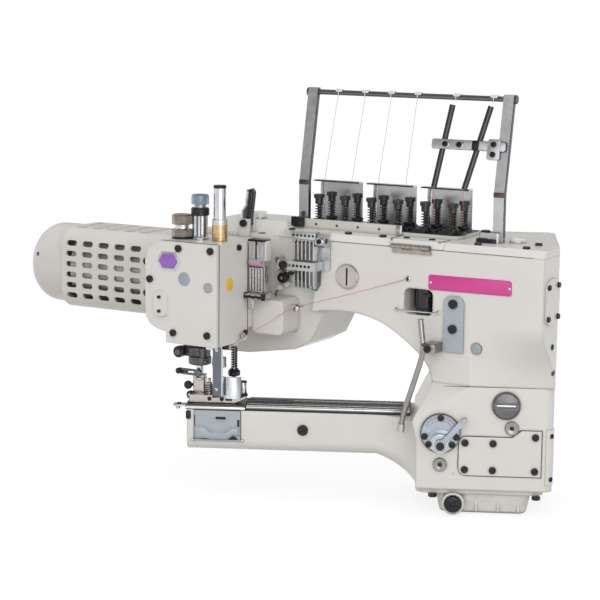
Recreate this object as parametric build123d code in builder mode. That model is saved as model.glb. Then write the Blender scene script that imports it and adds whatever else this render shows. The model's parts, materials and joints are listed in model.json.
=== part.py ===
from build123d import *
import math
import os

# Cylinder-bed flatlock sewing head. Millimetres, +Z up. The origin lies under the middle of the
# base flange, where the head is bolted to its stand. X runs along the cylinder bed towards the
# column and Y runs to the back. The arm, head, motor and thread stand are turned in plan, so they
# are drawn in arm axes: u along the arm towards the column, v to the back, z up.

os.makedirs("parts", exist_ok=True)

# Clearances
running_gap = 0.3
shaft_gap = 0.1
panel_gap = 0.6

# Base and column
base_left = -69.0
base_right = 80.0
base_half_depth = 66.0
base_bottom = 6.0
parting_z = 121.5
base_corner_radius = 12.0
flange_left = -68.5
flange_right = 71.0
flange_side_inset = 6.0
mount_pitch_x = 128.0
mount_pitch_y = 70.0
mount_hole_radius = 2.5
mount_hole_depth = 14.0
column_left = -53.5
shoulder_drop = 41.0

# Cylinder bed
bed_end = -328.0
bed_half_width = 22.0
bed_bottom = 30.0
bed_top = 77.0
bed_round = 13.0
flare_start = -114.0
flare_middle = -92.0
looper_room_left = -320.0
looper_room_right = -267.0
looper_room_floor = 42.0
looper_room_depth = 30.0
plate_thickness = 6.0
needle_plate_right = -262.0
rail_right = -77.0

# Looper and feed mechanism inside the bed end
room_middle_x = (looper_room_left + looper_room_right) / 2
looper_x = -300.0
looper_z = 50.0
looper_shaft_radius = 3.0
looper_bore_depth = 6.0
feed_bar_y = 3.5
feed_bar_z = 69.0
feed_bar_width = 6.0
feed_bar_height = 6.0
feed_guide_depth = 12.0

# Oil pan
pan_length = 105.0
pan_width = 112.0
pan_depth = 24.0
pan_wall = 3.0
pan_center_x = 5.5
drain_x = -27.4
drain_z = -10.5
drain_boss_length = 8.0
drain_boss_radius = 12.5
pan_rib_places = (-2.0, 22.0, 44.0)

# Arm axes
arm_turn = 25.0
head_corner_x = -291.6
head_corner_y = -46.0

# Arm casting, in arm axes
arm_front_v = 100.0
arm_back_v = 204.0
arm_left_u = -95.0
arm_top = 267.0
neck_v = 112.0
neck_top = 262.0
neck_bottom = 165.0
wedge_top = 190.0
cover_thickness = 8.0
cover_chamfer = 7.0
window_left = 180.0
window_right = 215.0
window_bottom = 194.0
window_top = 223.0
window_depth = 26.0
shaft_bore_depth = 14.0
dome_top = 280.0
dome_left = -88.0
dome_right = 18.0
dome_front = 126.0
dome_back = 202.0
top_cover_left = 20.0
ear_u = -33.0
ear_v = 117.0
ear_z = 278.0
ear_gap = 7.0
ear_thickness = 4.0

# Hinged lid on the top cover
lid_left = 160.0
lid_right = 226.0
lid_back_v = 129.0
hinge_left = 165.0
hinge_right = 212.0
hinge_radius = 2.6
hinge_pin_radius = 1.1
hinge_v = 97.0
hinge_z = 269.0

# Head, in arm axes
face_thickness = 5.0
head_depth = 65.0
head_top = 266.5
head_bottom = 152.0
head_wall = 6.0
needle_u = -19.0
needle_v = 36.0
presser_u = -45.0
needle_bar_radius = 3.6
presser_bar_radius = 4.0

# Motor, in arm axes
motor_axis_v = 152.0
motor_axis_z = 205.0
motor_side = 99.0
motor_corner = 26.0
motor_wall = 3.0
motor_left = -291.0
motor_right = arm_left_u - 0.3
slot_length = 15.6
slot_height = 6.6
slot_pitch_u = 23.7
slot_pitch_z = 12.8
slot_columns = 5
slot_rows = 6
slot_first_u = -276.0
wheel_radius = 49.0
wheel_end = -350.0
wheel_round = 28.0
main_shaft_radius = 8.0

# Thread tension unit, in arm axes
rail_left_u = 20.0
rail_right_u = 228.0
rail_thickness = 4.0
bar_left_u = 29.0
bar_right_u = 152.0
bar_height = 11.0
bar_thickness = 5.0
bar_hole_pitch = 27.0
bar_hole_radius = 1.3
tension_columns = 6
tension_pitch = 33.9
tension_first_u = 44.0
post_radius = 2.0
disc_radius = 7.0
nut_radius = 6.1
nut_height = 10.5
nut_top = 313.0
spring_rings = 6
guide_plate_count = 3
guide_plate_first_u = 48.0
guide_plate_pitch = 69.7
guide_plate_top = 325.0
guide_plate_width = 56.0
sheet_thickness = 1.2

# Thread stand, in arm axes
stand_left_u = 30.0
stand_right_u = 273.0
stand_kink_z = 328.0
stand_head_z = 434.0
stand_width = 12.0
stand_thickness = 6.0

# Base casting with the cylinder bed
cover_left = -22.6
cover_right = 67.0
cover_bottom = 22.5
cover_top = 66.0
cover_step = 8.0
cover_depth = 2.4
cover_proud = 0.6
cover_corner = 8.0
dial_x = -42.6
dial_z = 69.2
dial_radius = 21.5
dial_thickness = 4.0
dial_slot_radius = 22.0
lever_length = 39.0
lever_angle = 41.0
lever_pin_radius = 2.5
screw_radius = 4.0
screw_height = 2.4
sight_x = 27.8
sight_z = 101.6
sight_radius = 15.5
button_radius = 7.8

# Feed lever
lever_thickness = 3.0

# Needle plate over the looper room
feed_slot_length = 17.0
feed_slot_width = 2.6
feed_slot_pitch = 5.2
feed_rows = 3

# Feed dog on its feed bar
feed_travel = 1.8
tooth_pitch = 1.6

# Looper cover at the bed end
looper_cover_thickness = 2.6
looper_cover_gap = 0.5
bulge_height = 3.0

# Looper on its rocking shaft inside the bed
looper_arm_y = -12.5

# Arm casting
arm_cap_place = (109, 229)
arm_cap_radius = 14.0
eyelet_place = (184, 233)
arm_plug_place = (267.5, 163.6)
arm_plug_radius = 6.2

# Hinge leaf on the arm with the other knuckles
leaf_thickness = 1.6

# Head housing
knob_place = (-66.5, 32.0)
knob_stem_radius = 3.0
spreader_place = (-8.0, 50.0)
spreader_radius = 2.2

# Joints between base and arm
side_setback = 3.0
shoulder_step = 5.0
arch_foot_u = 216.5
neck_back_v = 144.0
guide_housing_place = (19, 178)
guide_housing_width = 42.0
guide_housing_height = 40.0
guide_housing_setback = 11.0
dome_taper = 38
ear_width = 14.0
lid_well_depth = 20.0
rail_lid_gap = 2.8

# Hinge of the looper cover
lug_length = 3.5
lug_radius = 1.6
looper_pin_radius = 0.6
knuckle_radius = 1.1

# Parts on top of the head
knob_radius = 11.0
knob_height = 27.0
knob_stem_depth = 5.0
knob_ring_height = 10.5
knob_waist_height = 5.6
knob_waist_radius = 7.4
sleeve_height = 34.5
sleeve_radius = 8.6
sleeve_rim_height = 7.0
dial_stem_radius = 4.2
dial_height = 16.0
dial_waist_radius = 6.4
dial_knob_radius = 9.4
guard_play = 1.0
guard_base_radius = 8.6
guard_base_height = 18.5
guard_tube_radius = 6.9
guard_height = 62.0
pad_u = -74.0
pad_z = 195.5
pad_width = 19.0
pad_length = 30.0
pad_height = 3.0

# Needle bar, presser and spreader
clamp_top = 134.0
clamp_bottom = 122.0
clamp_width = 13.0
clamp_depth = 15.0
needle_bar_top = 300.0
needle_tip = 86.0
needle_point = 5.0
needle_radius = 0.6
needle_pitch = 2.4
needle_count = 4
needle_slot_length = 14.0
feed_slot_offset = 13.0
presser_bar_bottom = 94.0
presser_bar_top = 276.0
collar_bottom = 124.0
collar_radius = 12.5
collar_height = 9.0
guide_block_width = 32.0
guide_block_depth = 17.0
guide_block_height = 10.0
foot_top = 112.0
foot_gap = 0.7
foot_toe_reach = 31.0
foot_heel_reach = 9.0
foot_sole_height = 8.5
foot_sole_width = 20.0
spreader_bottom = 106.0
spreader_spring_bottom = 120.0
spreader_spring_turns = 8
spreader_spring_pitch = 3.2
spreader_spring_core = 3.0
spreader_spring_radius = 4.6
guard_strip_bottom = 92.5
guard_strip_width = 12.0
guard_strip_thickness = 2.4
shield_radius = 17.0
shield_thickness = 1.4
shield_height = 22.5

# Inside the motor
stator_left = -280.0
stator_right = -150.0
stator_rib_count = 12
rotor_radius = 24.0
rotor_inset = 5.0
wheel_wall = 4.0
wheel_boss_wall = 8.0

# Rows of the tension unit
bar_setback = 17.2
tension_row_pitch = 30.0
guide_plate_setback = 16.0
rail_margin = 4.0
disc_thickness = 2.2
disc_gap = 1.2
disc_core_radius = 4.0
disc_stack_height = 6.0
spring_core = 3.4
spring_radius = 4.7
nut_neck_radius = 4.6
nut_head_height = 4.5
nut_notch_count = 8
nut_notch_radius = 1.0
guide_lip_depth = 10.4
guide_lip_shift = 2.0
guide_hole_radius = 1.2

# Details of the thread stand
stand_foot_setback = 8.7
stand_lean = 19.5
stand_block_width = 24.0
stand_block_depth = 18.0
stand_block_height = 11.0
rod_radius = 3.0
rod_drop = 5.0
rod_end = 2.0
stand_bracket_length = 89.0
stand_bracket_rise = 51.0
stand_bracket_height = 11.0
stand_bracket_thickness = 2.5
tube_radius = 3.3
tube_wall = 1.0
tube_top_rise = 95.0
tube_low_rise = 3.0
tube_offsets = [(67, 80), (21, 43)]

# Thread lubricating box
box_width = 22.0
box_depth = 12.4
box_bottom = 243.0
box_height = 23.0
slotted_plate_height = 37.0
strip_height = 6.0
strip_depth = 21.0
strip_hole_pitch = 5.0
strip_hole_radius = 1.3

# Thread take-up and its bracket
lever_count = 6
lever_pitch = 5.0
first_lever_u = 48.0
take_up_reach = 10.0
take_up_length = 55.0
take_up_half_width = 4.5
take_up_thickness = 1.6
take_up_radius = 3.0
take_up_eye_radius = 1.2
bearing_length = 11.0
bearing_radius = 7.5
guide_bar_reach = 11.0
guide_bar_length = 46.0
guide_bar_drop = 34.0
guide_bar_height = 10.0
guide_bar_hole_radius = 1.5

# Lifting lever, caps and side cover
lift_hub_radius = 6.0
lift_length = 40.0
sight_thickness = 3.4
button_thickness = 2.6
drain_plug_radius = 9.2
drain_plug_thickness = 4.0
arm_cap_thickness = 2.4
arm_plug_depth = 3.0
dome_filler_place = (-35, 148)
cover_filler_place = (291, 151)
head_plugs = [((-42.7, 225.9), 7.5), ((-11.3, 218.6), 5.8)]
side_cover_setback = 19.6
side_cover_z = 219.0
side_cover_width = 36.0
side_cover_height = 50.0
side_cover_thickness = 2.0

# Bracket and guide rod on the column front
bracket_u = 229.0
bracket_bottom = 157.0
bracket_foot = 8.0
bracket_height = 62.0
bracket_width = 24.0
bracket_thickness = 3.0
rod_standoff = 18.0
guide_rod_radius = 2.3
rod_route = [(209.5, 193), (214.5, 158), (197, 104.5), (189, 78), (188, 66)]
rod_bends = [18, 60, 16]

# Screws
cover_inset = 6.8
cover_step_x = 45.5
dial_screw_inset = 3.9
dial_screw_angles = (90, -11, 191, -43, 223)
bed_screw_place = (-197, 57)
face_screw_places = [(-50, 259.5), (-8, 259.5), (-88.4, 222.4), (-57, 164), (-12, 165)]
head_side_places = [(45, 259.5), (59, 161)]
bracket_screw_places = [(241, 210.5), (241, 183)]
motor_screw_u = -164.0

ear_top = ear_z + 5
lid_depth = lid_back_v - arm_front_v
lid_corner = 0.34 * lid_depth
top_plane = arm_top + cover_thickness
top_screw_places = [(103, 112), (147, 111), (262, 111), (318, 112), (318, 145)]
turn = math.radians(arm_turn)
arm_x = Vector(math.cos(turn), -math.sin(turn), 0)
arm_y = Vector(math.sin(turn), math.cos(turn), 0)
up = Vector(0, 0, 1)


def arm_point(u, v, z):
    """A point given in arm axes, as a point of the whole machine."""
    return Vector(head_corner_x, head_corner_y, z) + arm_x * u + arm_y * v


def arm_level(z):
    """Horizontal sketch plane with x = u and y = v."""
    return Plane(origin=arm_point(0, 0, z), x_dir=arm_x, z_dir=up)


def arm_front(v):
    """Upright sketch plane facing the front of the arm, with x = u and y = z."""
    return Plane(origin=arm_point(0, v, 0), x_dir=arm_x, z_dir=arm_y * -1)


def arm_side(u):
    """Upright sketch plane facing the column end, with x = v and y = z."""
    return Plane(origin=arm_point(u, 0, 0), x_dir=arm_y, z_dir=arm_x)


def bed_front(y):
    """Upright sketch plane facing the front of the bed, with x = X and y = Z."""
    return Plane(origin=(0, y, 0), x_dir=(1, 0, 0), z_dir=(0, -1, 0))


def plan_of(u, v):
    """Plan coordinates of a point given in arm axes."""
    point = arm_point(u, v, 0)
    return (point.X, point.Y)


def bed_outline(half_width, low, high, radius):
    """Cross-section of the bed: flat sides and top, well rounded underneath."""
    with Locations((0, (low + high) / 2)):
        section = Rectangle(2 * half_width, high - low)
    fillet(section.vertices().group_by(Axis.Y)[0], radius)
    fillet(section.vertices().group_by(Axis.Y)[-1], 2.5)


# The end face of the arm meets the side of the base a little behind the base front, and the arm
# front meets the base front at the kink.
side_turn_y = side_setback - base_half_depth
side_corner = Vector(base_right - head_corner_x, side_turn_y - head_corner_y, 0)
arm_right_u = side_corner.dot(arm_x)
side_turn_v = side_corner.dot(arm_y)
kink_u = (arm_point(0, arm_front_v, 0).Y + base_half_depth) / math.sin(turn)
kink_x = arm_point(kink_u, arm_front_v, 0).X
plate_top = bed_top + plate_thickness
guard_seat = head_top + guard_base_height
guard_top = head_top + guard_height
rail_front_v = lid_back_v + rail_lid_gap
tension_front_v = rail_front_v + bar_setback


# Base casting with the cylinder bed
facet_kink = Vector(kink_x, -base_half_depth, parting_z)
facet_left = arm_point(arch_foot_u, arm_front_v, parting_z)
facet_low = Vector(base_left - shoulder_step, -base_half_depth, parting_z - shoulder_drop)
facet_normal = (facet_low - facet_kink).cross(facet_left - facet_kink)
if facet_normal.Y > 0:
    facet_normal = facet_normal * -1
looper_cover_front = -bed_half_width - 1.2
looper_hinge_z = looper_room_floor + looper_cover_gap
flare_sections = [
    (flare_start, bed_half_width, bed_bottom, bed_top, bed_round),
    (flare_middle, bed_half_width + 8, bed_bottom - 9, bed_top, bed_round + 2),
    (base_left + 2, base_half_depth - 2, base_bottom, bed_top, bed_round - 4),
]
cover_outline = [
    (cover_left, cover_bottom),
    (cover_right, cover_bottom),
    (cover_right, cover_top + cover_step),
    (cover_step_x, cover_top + cover_step),
    (cover_step_x - cover_step - 2, cover_top),
    (cover_left, cover_top),
]
lever_z = dial_z - 12.6
button_places = [(34.5, 76.5), (dial_x, 33.8)]

with BuildPart() as bed_base:
    with BuildSketch(bed_front(-base_half_depth)):
        with BuildLine():
            Polyline(
                (base_left, base_bottom),
                (base_right, base_bottom),
                (base_right, parting_z),
                (column_left, parting_z),
                (base_left - shoulder_step, parting_z - shoulder_drop),
                (base_left, parting_z - shoulder_drop - 20),
                close=True,
            )
        make_face()
    extrude(amount=-2 * base_half_depth)
    fillet(bed_base.edges().filter_by(Axis.Z).group_by(Axis.X)[-1], base_corner_radius)
    split(bisect_by=Plane(origin=facet_kink, z_dir=facet_normal), keep=Keep.BOTTOM)
    with BuildSketch(Plane.YZ.offset(bed_end)):
        bed_outline(bed_half_width, bed_bottom, bed_top, bed_round)
    extrude(amount=flare_start - bed_end + 4)
    for x, half_width, low, high, radius in flare_sections:
        with BuildSketch(Plane.YZ.offset(x)):
            bed_outline(half_width, low, high, radius)
    loft()
    with BuildSketch(Plane.XY):
        with Locations(((flange_left + flange_right) / 2, 0)):
            RectangleRounded(
                flange_right - flange_left,
                2 * (base_half_depth - flange_side_inset),
                base_corner_radius,
            )
    extrude(amount=base_bottom)
    # bolt holes for the stand
    with BuildSketch(Plane.XY):
        with GridLocations(mount_pitch_x, mount_pitch_y, 2, 2):
            Circle(mount_hole_radius)
    extrude(amount=mount_hole_depth, mode=Mode.SUBTRACT)
    # room for the loopers, open to the front and to the top
    with BuildSketch(bed_front(-bed_half_width)):
        with Locations((room_middle_x, (looper_room_floor + bed_top) / 2)):
            Rectangle(looper_room_right - looper_room_left, bed_top - looper_room_floor)
    extrude(amount=-looper_room_depth, mode=Mode.SUBTRACT)
    # guide way of the feed bar
    with BuildSketch(Plane.YZ.offset(looper_room_right)):
        with Locations((feed_bar_y, feed_bar_z)):
            Rectangle(feed_bar_width + 2 * running_gap, feed_bar_height + 2 * running_gap)
    extrude(amount=feed_guide_depth, mode=Mode.SUBTRACT)
    # bore of the looper shaft in the back wall of the room
    with BuildSketch(bed_front(looper_room_depth - bed_half_width)):
        with Locations((looper_x, looper_z)):
            Circle(looper_shaft_radius + shaft_gap)
    extrude(amount=-looper_bore_depth, mode=Mode.SUBTRACT)
    # lugs and pin of the looper cover
    with BuildSketch(Plane.YZ.offset(looper_room_left - lug_length)):
        with Locations((looper_cover_front, looper_hinge_z)):
            Circle(lug_radius)
    extrude(amount=lug_length - running_gap)
    with BuildSketch(Plane.YZ.offset(looper_room_right + running_gap)):
        with Locations((looper_cover_front, looper_hinge_z)):
            Circle(lug_radius)
    extrude(amount=lug_length - running_gap)
    with BuildSketch(Plane.YZ.offset(looper_room_left - lug_length)):
        with Locations((looper_cover_front, looper_hinge_z)):
            Circle(looper_pin_radius)
    extrude(amount=looper_room_right - looper_room_left + 2 * lug_length)
    # shallow seat of the cover plate
    with BuildSketch(bed_front(-base_half_depth)):
        with BuildLine():
            Polyline(cover_outline, close=True)
        seat_face = make_face()
        fillet(seat_face.vertices().group_by(Axis.X)[0], cover_corner)
        offset(amount=panel_gap)
    extrude(amount=-(cover_depth - cover_proud), mode=Mode.SUBTRACT)
bed_base.part.label = "bed_base"
export_step(bed_base.part, "parts/bed_base.step")

# Oil pan under the base, hanging into the stand
with BuildPart() as oil_pan:
    with BuildSketch(Plane.XY):
        with Locations((pan_center_x, 0)):
            RectangleRounded(pan_length, pan_width, 14)
    extrude(amount=-pan_depth, taper=12)
    fillet(oil_pan.faces().sort_by(Axis.Z)[0].edges(), 5)
    with BuildSketch(bed_front(-pan_width / 2 + 10)):
        with Locations((drain_x, drain_z)):
            Circle(drain_boss_radius)
    extrude(amount=10 + drain_boss_length)
    with BuildSketch(bed_front(-pan_width / 2 + 10)):
        for rib_x in pan_rib_places:
            with Locations((rib_x, -pan_depth / 2)):
                Rectangle(2.4, pan_depth - 6)
    extrude(amount=8)
    with BuildSketch(Plane.XY):
        with Locations((pan_center_x, 0)):
            RectangleRounded(pan_length - 2 * pan_wall, pan_width - 2 * pan_wall, 11)
    extrude(amount=-(pan_depth - pan_wall), taper=12, mode=Mode.SUBTRACT)
    split(bisect_by=Plane.XY, keep=Keep.BOTTOM)
oil_pan.part.label = "oil_pan"
export_step(oil_pan.part, "parts/oil_pan.step")

# Screwed cover plate on the base
with BuildPart() as base_cover:
    with BuildSketch(bed_front(-base_half_depth + cover_depth - cover_proud)):
        with BuildLine():
            Polyline(cover_outline, close=True)
        cover_face = make_face()
        fillet(cover_face.vertices().group_by(Axis.X)[0], cover_corner)
    extrude(amount=cover_depth)
    fillet(base_cover.faces().sort_by(Axis.Y)[0].edges(), 0.5)
base_cover.part.label = "base_cover"
export_step(base_cover.part, "parts/base_cover.step")

# Differential feed dial with its curved slot
with BuildPart() as feed_dial:
    with BuildSketch(bed_front(-base_half_depth)):
        with Locations((dial_x, dial_z)):
            Circle(dial_radius)
    extrude(amount=dial_thickness)
    fillet(feed_dial.faces().sort_by(Axis.Y)[0].edges(), 0.8)
    with BuildSketch(bed_front(-base_half_depth - dial_thickness)):
        with Locations((dial_x, lever_z)):
            SlotArc(
                CenterArc((0, 0), dial_slot_radius, 45, 90),
                4.0,
            )
    extrude(amount=-1.5, mode=Mode.SUBTRACT)
feed_dial.part.label = "feed_dial"
export_step(feed_dial.part, "parts/feed_dial.step")

# Feed lever, swinging over the dial about its pivot screw
lever_back = base_half_depth + dial_thickness + screw_height + running_gap
with BuildPart() as feed_lever:
    with BuildSketch(bed_front(-lever_back)):
        with Locations((dial_x, lever_z)):
            Circle(6.6)
            with PolarLocations(lever_length / 2, 1, start_angle=90 - lever_angle):
                SlotCenterToCenter(lever_length, 6)
    extrude(amount=lever_thickness)
    with BuildSketch(bed_front(-base_half_depth - dial_thickness - running_gap)):
        with Locations((dial_x, lever_z)):
            Circle(5.2)
    extrude(amount=screw_height)
    with BuildSketch(bed_front(-lever_back - lever_thickness)):
        with Locations((dial_x, lever_z)):
            with PolarLocations(lever_length, 1, start_angle=90 - lever_angle):
                Circle(2.8)
    extrude(amount=4, taper=8)
    with BuildSketch(bed_front(-base_half_depth)):
        with Locations((dial_x, lever_z)):
            Circle(lever_pin_radius + shaft_gap)
    extrude(amount=20, mode=Mode.SUBTRACT)
feed_lever.part.label = "feed_lever"
export_step(feed_lever.part, "parts/feed_lever.step")

# Steel rails along the top of the bed, with a raised guide strip beside the needle plate
rail_length = rail_right - needle_plate_right - panel_gap
rail_middle = (rail_right + needle_plate_right + panel_gap) / 2
with BuildPart() as bed_rails:
    with BuildSketch(Plane.XY.offset(bed_top)):
        with Locations((rail_middle, 0)):
            Rectangle(rail_length, 2 * bed_half_width - 5)
    extrude(amount=2.2)
    with BuildSketch(Plane.XY.offset(bed_top + 2.2)):
        with Locations((rail_middle, 0)):
            Rectangle(rail_length, 2 * bed_half_width - 1)
    extrude(amount=plate_thickness - 2.2)
    with BuildSketch(Plane.XY.offset(bed_top + plate_thickness)):
        with Locations((rail_middle, 0)):
            with GridLocations(0, 13, 1, 3):
                Rectangle(rail_length + 1, 3)
    extrude(amount=-1.6, mode=Mode.SUBTRACT)
    with BuildSketch(Plane.XY.offset(bed_top + plate_thickness)):
        with Locations((needle_plate_right + panel_gap + 25, 2)):
            RectangleRounded(50, 12, 1)
    extrude(amount=2.6)
bed_rails.part.label = "bed_rails"
export_step(bed_rails.part, "parts/bed_rails.step")

# Needle plate over the looper room, with its needle slot and feed slots
needle_x, needle_y = plan_of(needle_u, needle_v)
presser_x, presser_y = plan_of(presser_u, needle_v)
feed_slot_x = needle_x - feed_slot_offset
with BuildPart() as needle_plate:
    with BuildSketch(Plane.XY.offset(bed_top)):
        with Locations(((bed_end - 2 + needle_plate_right) / 2, 0)):
            RectangleRounded(needle_plate_right - bed_end + 2, 2 * bed_half_width - 1, 2)
    extrude(amount=plate_thickness)
    chamfer(needle_plate.faces().sort_by(Axis.Z)[-1].edges(), 1)
    with BuildSketch(Plane.XY.offset(bed_top)):
        with Locations((feed_slot_x, needle_y)):
            with GridLocations(0, feed_slot_pitch, 1, feed_rows):
                SlotOverall(feed_slot_length, feed_slot_width)
        with Locations((needle_x, needle_y)):
            SlotOverall(needle_slot_length, 4, rotation=90)
    extrude(amount=plate_thickness, mode=Mode.SUBTRACT)
    with BuildSketch(Plane.XY.offset(bed_top)):
        with Locations((feed_slot_x, needle_y)):
            RectangleRounded(feed_slot_length + 3, 16, 2)
    extrude(amount=plate_thickness - 2, mode=Mode.SUBTRACT)
needle_plate.part.label = "needle_plate"
export_step(needle_plate.part, "parts/needle_plate.step")

# Feed dog on its feed bar: toothed rows that reach up through the plate
dog_length = feed_slot_length - 2 * (feed_travel + running_gap) - feed_slot_width + 1
dog_top = plate_top + 0.6
dog_bottom = plate_top - 4.5
with BuildPart() as feed_dog:
    with BuildSketch(Plane.XY.offset(dog_bottom)):
        with Locations((feed_slot_x, needle_y)):
            Rectangle(dog_length, 2 * feed_slot_pitch + feed_slot_width - 2 * running_gap)
    extrude(amount=2)
    with BuildSketch(Plane.XY.offset(dog_bottom)):
        with Locations((feed_slot_x, needle_y)):
            with GridLocations(0, feed_slot_pitch, 1, feed_rows):
                Rectangle(dog_length, feed_slot_width - 2 * running_gap)
    extrude(amount=dog_top - dog_bottom)
    with BuildSketch(bed_front(needle_y - 10)):
        tooth_count = int(dog_length / tooth_pitch)
        with Locations((feed_slot_x, dog_top)):
            with GridLocations(tooth_pitch, 0, tooth_count, 1):
                Polygon((-0.7, 0.1), (0.1, -0.9), (0.1, 0.1), align=None)
    extrude(amount=-20, mode=Mode.SUBTRACT)
    with BuildSketch(Plane.YZ.offset(feed_slot_x - dog_length / 2)):
        with Locations((feed_bar_y, feed_bar_z)):
            Rectangle(feed_bar_width, feed_bar_height)
    extrude(amount=looper_room_right + feed_guide_depth - 3 - feed_slot_x + dog_length / 2)
    with BuildSketch(Plane.XY.offset(feed_bar_z + feed_bar_height / 2)):
        with Locations((feed_slot_x, -2)):
            Rectangle(dog_length, 8)
    extrude(amount=dog_bottom - feed_bar_z - feed_bar_height / 2)
feed_dog.part.label = "feed_dog"
export_step(feed_dog.part, "parts/feed_dog.step")

# Looper cover at the bed end, hinged along its lower edge
with BuildPart() as looper_cover:
    with BuildSketch(bed_front(looper_cover_front)):
        with Locations((room_middle_x, (looper_room_floor + bed_top) / 2)):
            RectangleRounded(
                looper_room_right - looper_room_left - 2 * looper_cover_gap,
                bed_top - looper_room_floor - 2 * looper_cover_gap,
                1,
            )
    extrude(amount=-looper_cover_thickness)
    with BuildSketch(bed_front(looper_cover_front)):
        with BuildLine():
            Polyline(
                (looper_room_left + 0.6, looper_room_floor + 2),
                (looper_room_left + 0.6, looper_room_floor + 17),
                (looper_room_left + 13, looper_room_floor + 17),
                (looper_room_left + 19, looper_room_floor + 11),
                (looper_room_right - 17, looper_room_floor + 11),
                (looper_room_right - 10, looper_room_floor + 17),
                (looper_room_right - 0.6, looper_room_floor + 17),
                (looper_room_right - 0.6, looper_room_floor + 6),
                (looper_room_right - 8, looper_room_floor + 6),
                (looper_room_right - 15, looper_room_floor + 1),
                (looper_room_left + 19, looper_room_floor + 1),
                (looper_room_left + 14, looper_room_floor + 2),
                close=True,
            )
        make_face()
    extrude(amount=bulge_height, taper=30)
    with BuildSketch(bed_front(looper_cover_front)):
        with Locations((room_middle_x + 4, bed_top - 9)):
            SlotOverall(12, 3.2)
    extrude(amount=-looper_cover_thickness, mode=Mode.SUBTRACT)
    # knuckle along the lower edge, bored for the pin
    with BuildSketch(Plane.YZ.offset(looper_room_left + looper_cover_gap)):
        with Locations((looper_cover_front, looper_hinge_z)):
            Circle(knuckle_radius)
    extrude(amount=looper_room_right - looper_room_left - 2 * looper_cover_gap)
    with BuildSketch(Plane.YZ.offset(looper_room_left)):
        with Locations((looper_cover_front, looper_hinge_z)):
            Circle(looper_pin_radius + shaft_gap)
    extrude(amount=looper_room_right - looper_room_left, mode=Mode.SUBTRACT)
looper_cover.part.label = "looper_cover"
export_step(looper_cover.part, "parts/looper_cover.step")

# Looper on its rocking shaft inside the bed
with BuildPart() as looper:
    with BuildSketch(bed_front(looper_arm_y - 3)):
        with Locations((looper_x, looper_z)):
            Circle(looper_shaft_radius)
    extrude(amount=-(looper_room_depth - bed_half_width + looper_bore_depth - 1 - looper_arm_y + 3))
    with BuildSketch(bed_front(looper_arm_y - 2)):
        with Locations((looper_x, looper_z)):
            Circle(5.5)
        with BuildLine():
            Polyline(
                (looper_x - 4, looper_z + 2),
                (looper_x - 3, looper_z + 14),
                (looper_x + 3, looper_z + 16),
                (looper_x + 14, looper_z + 16.4),
                (looper_x + 3, looper_z + 11),
                (looper_x + 4, looper_z + 2),
                close=True,
            )
        make_face()
    extrude(amount=-3)
looper.part.label = "looper"
export_step(looper.part, "parts/looper.step")

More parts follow.
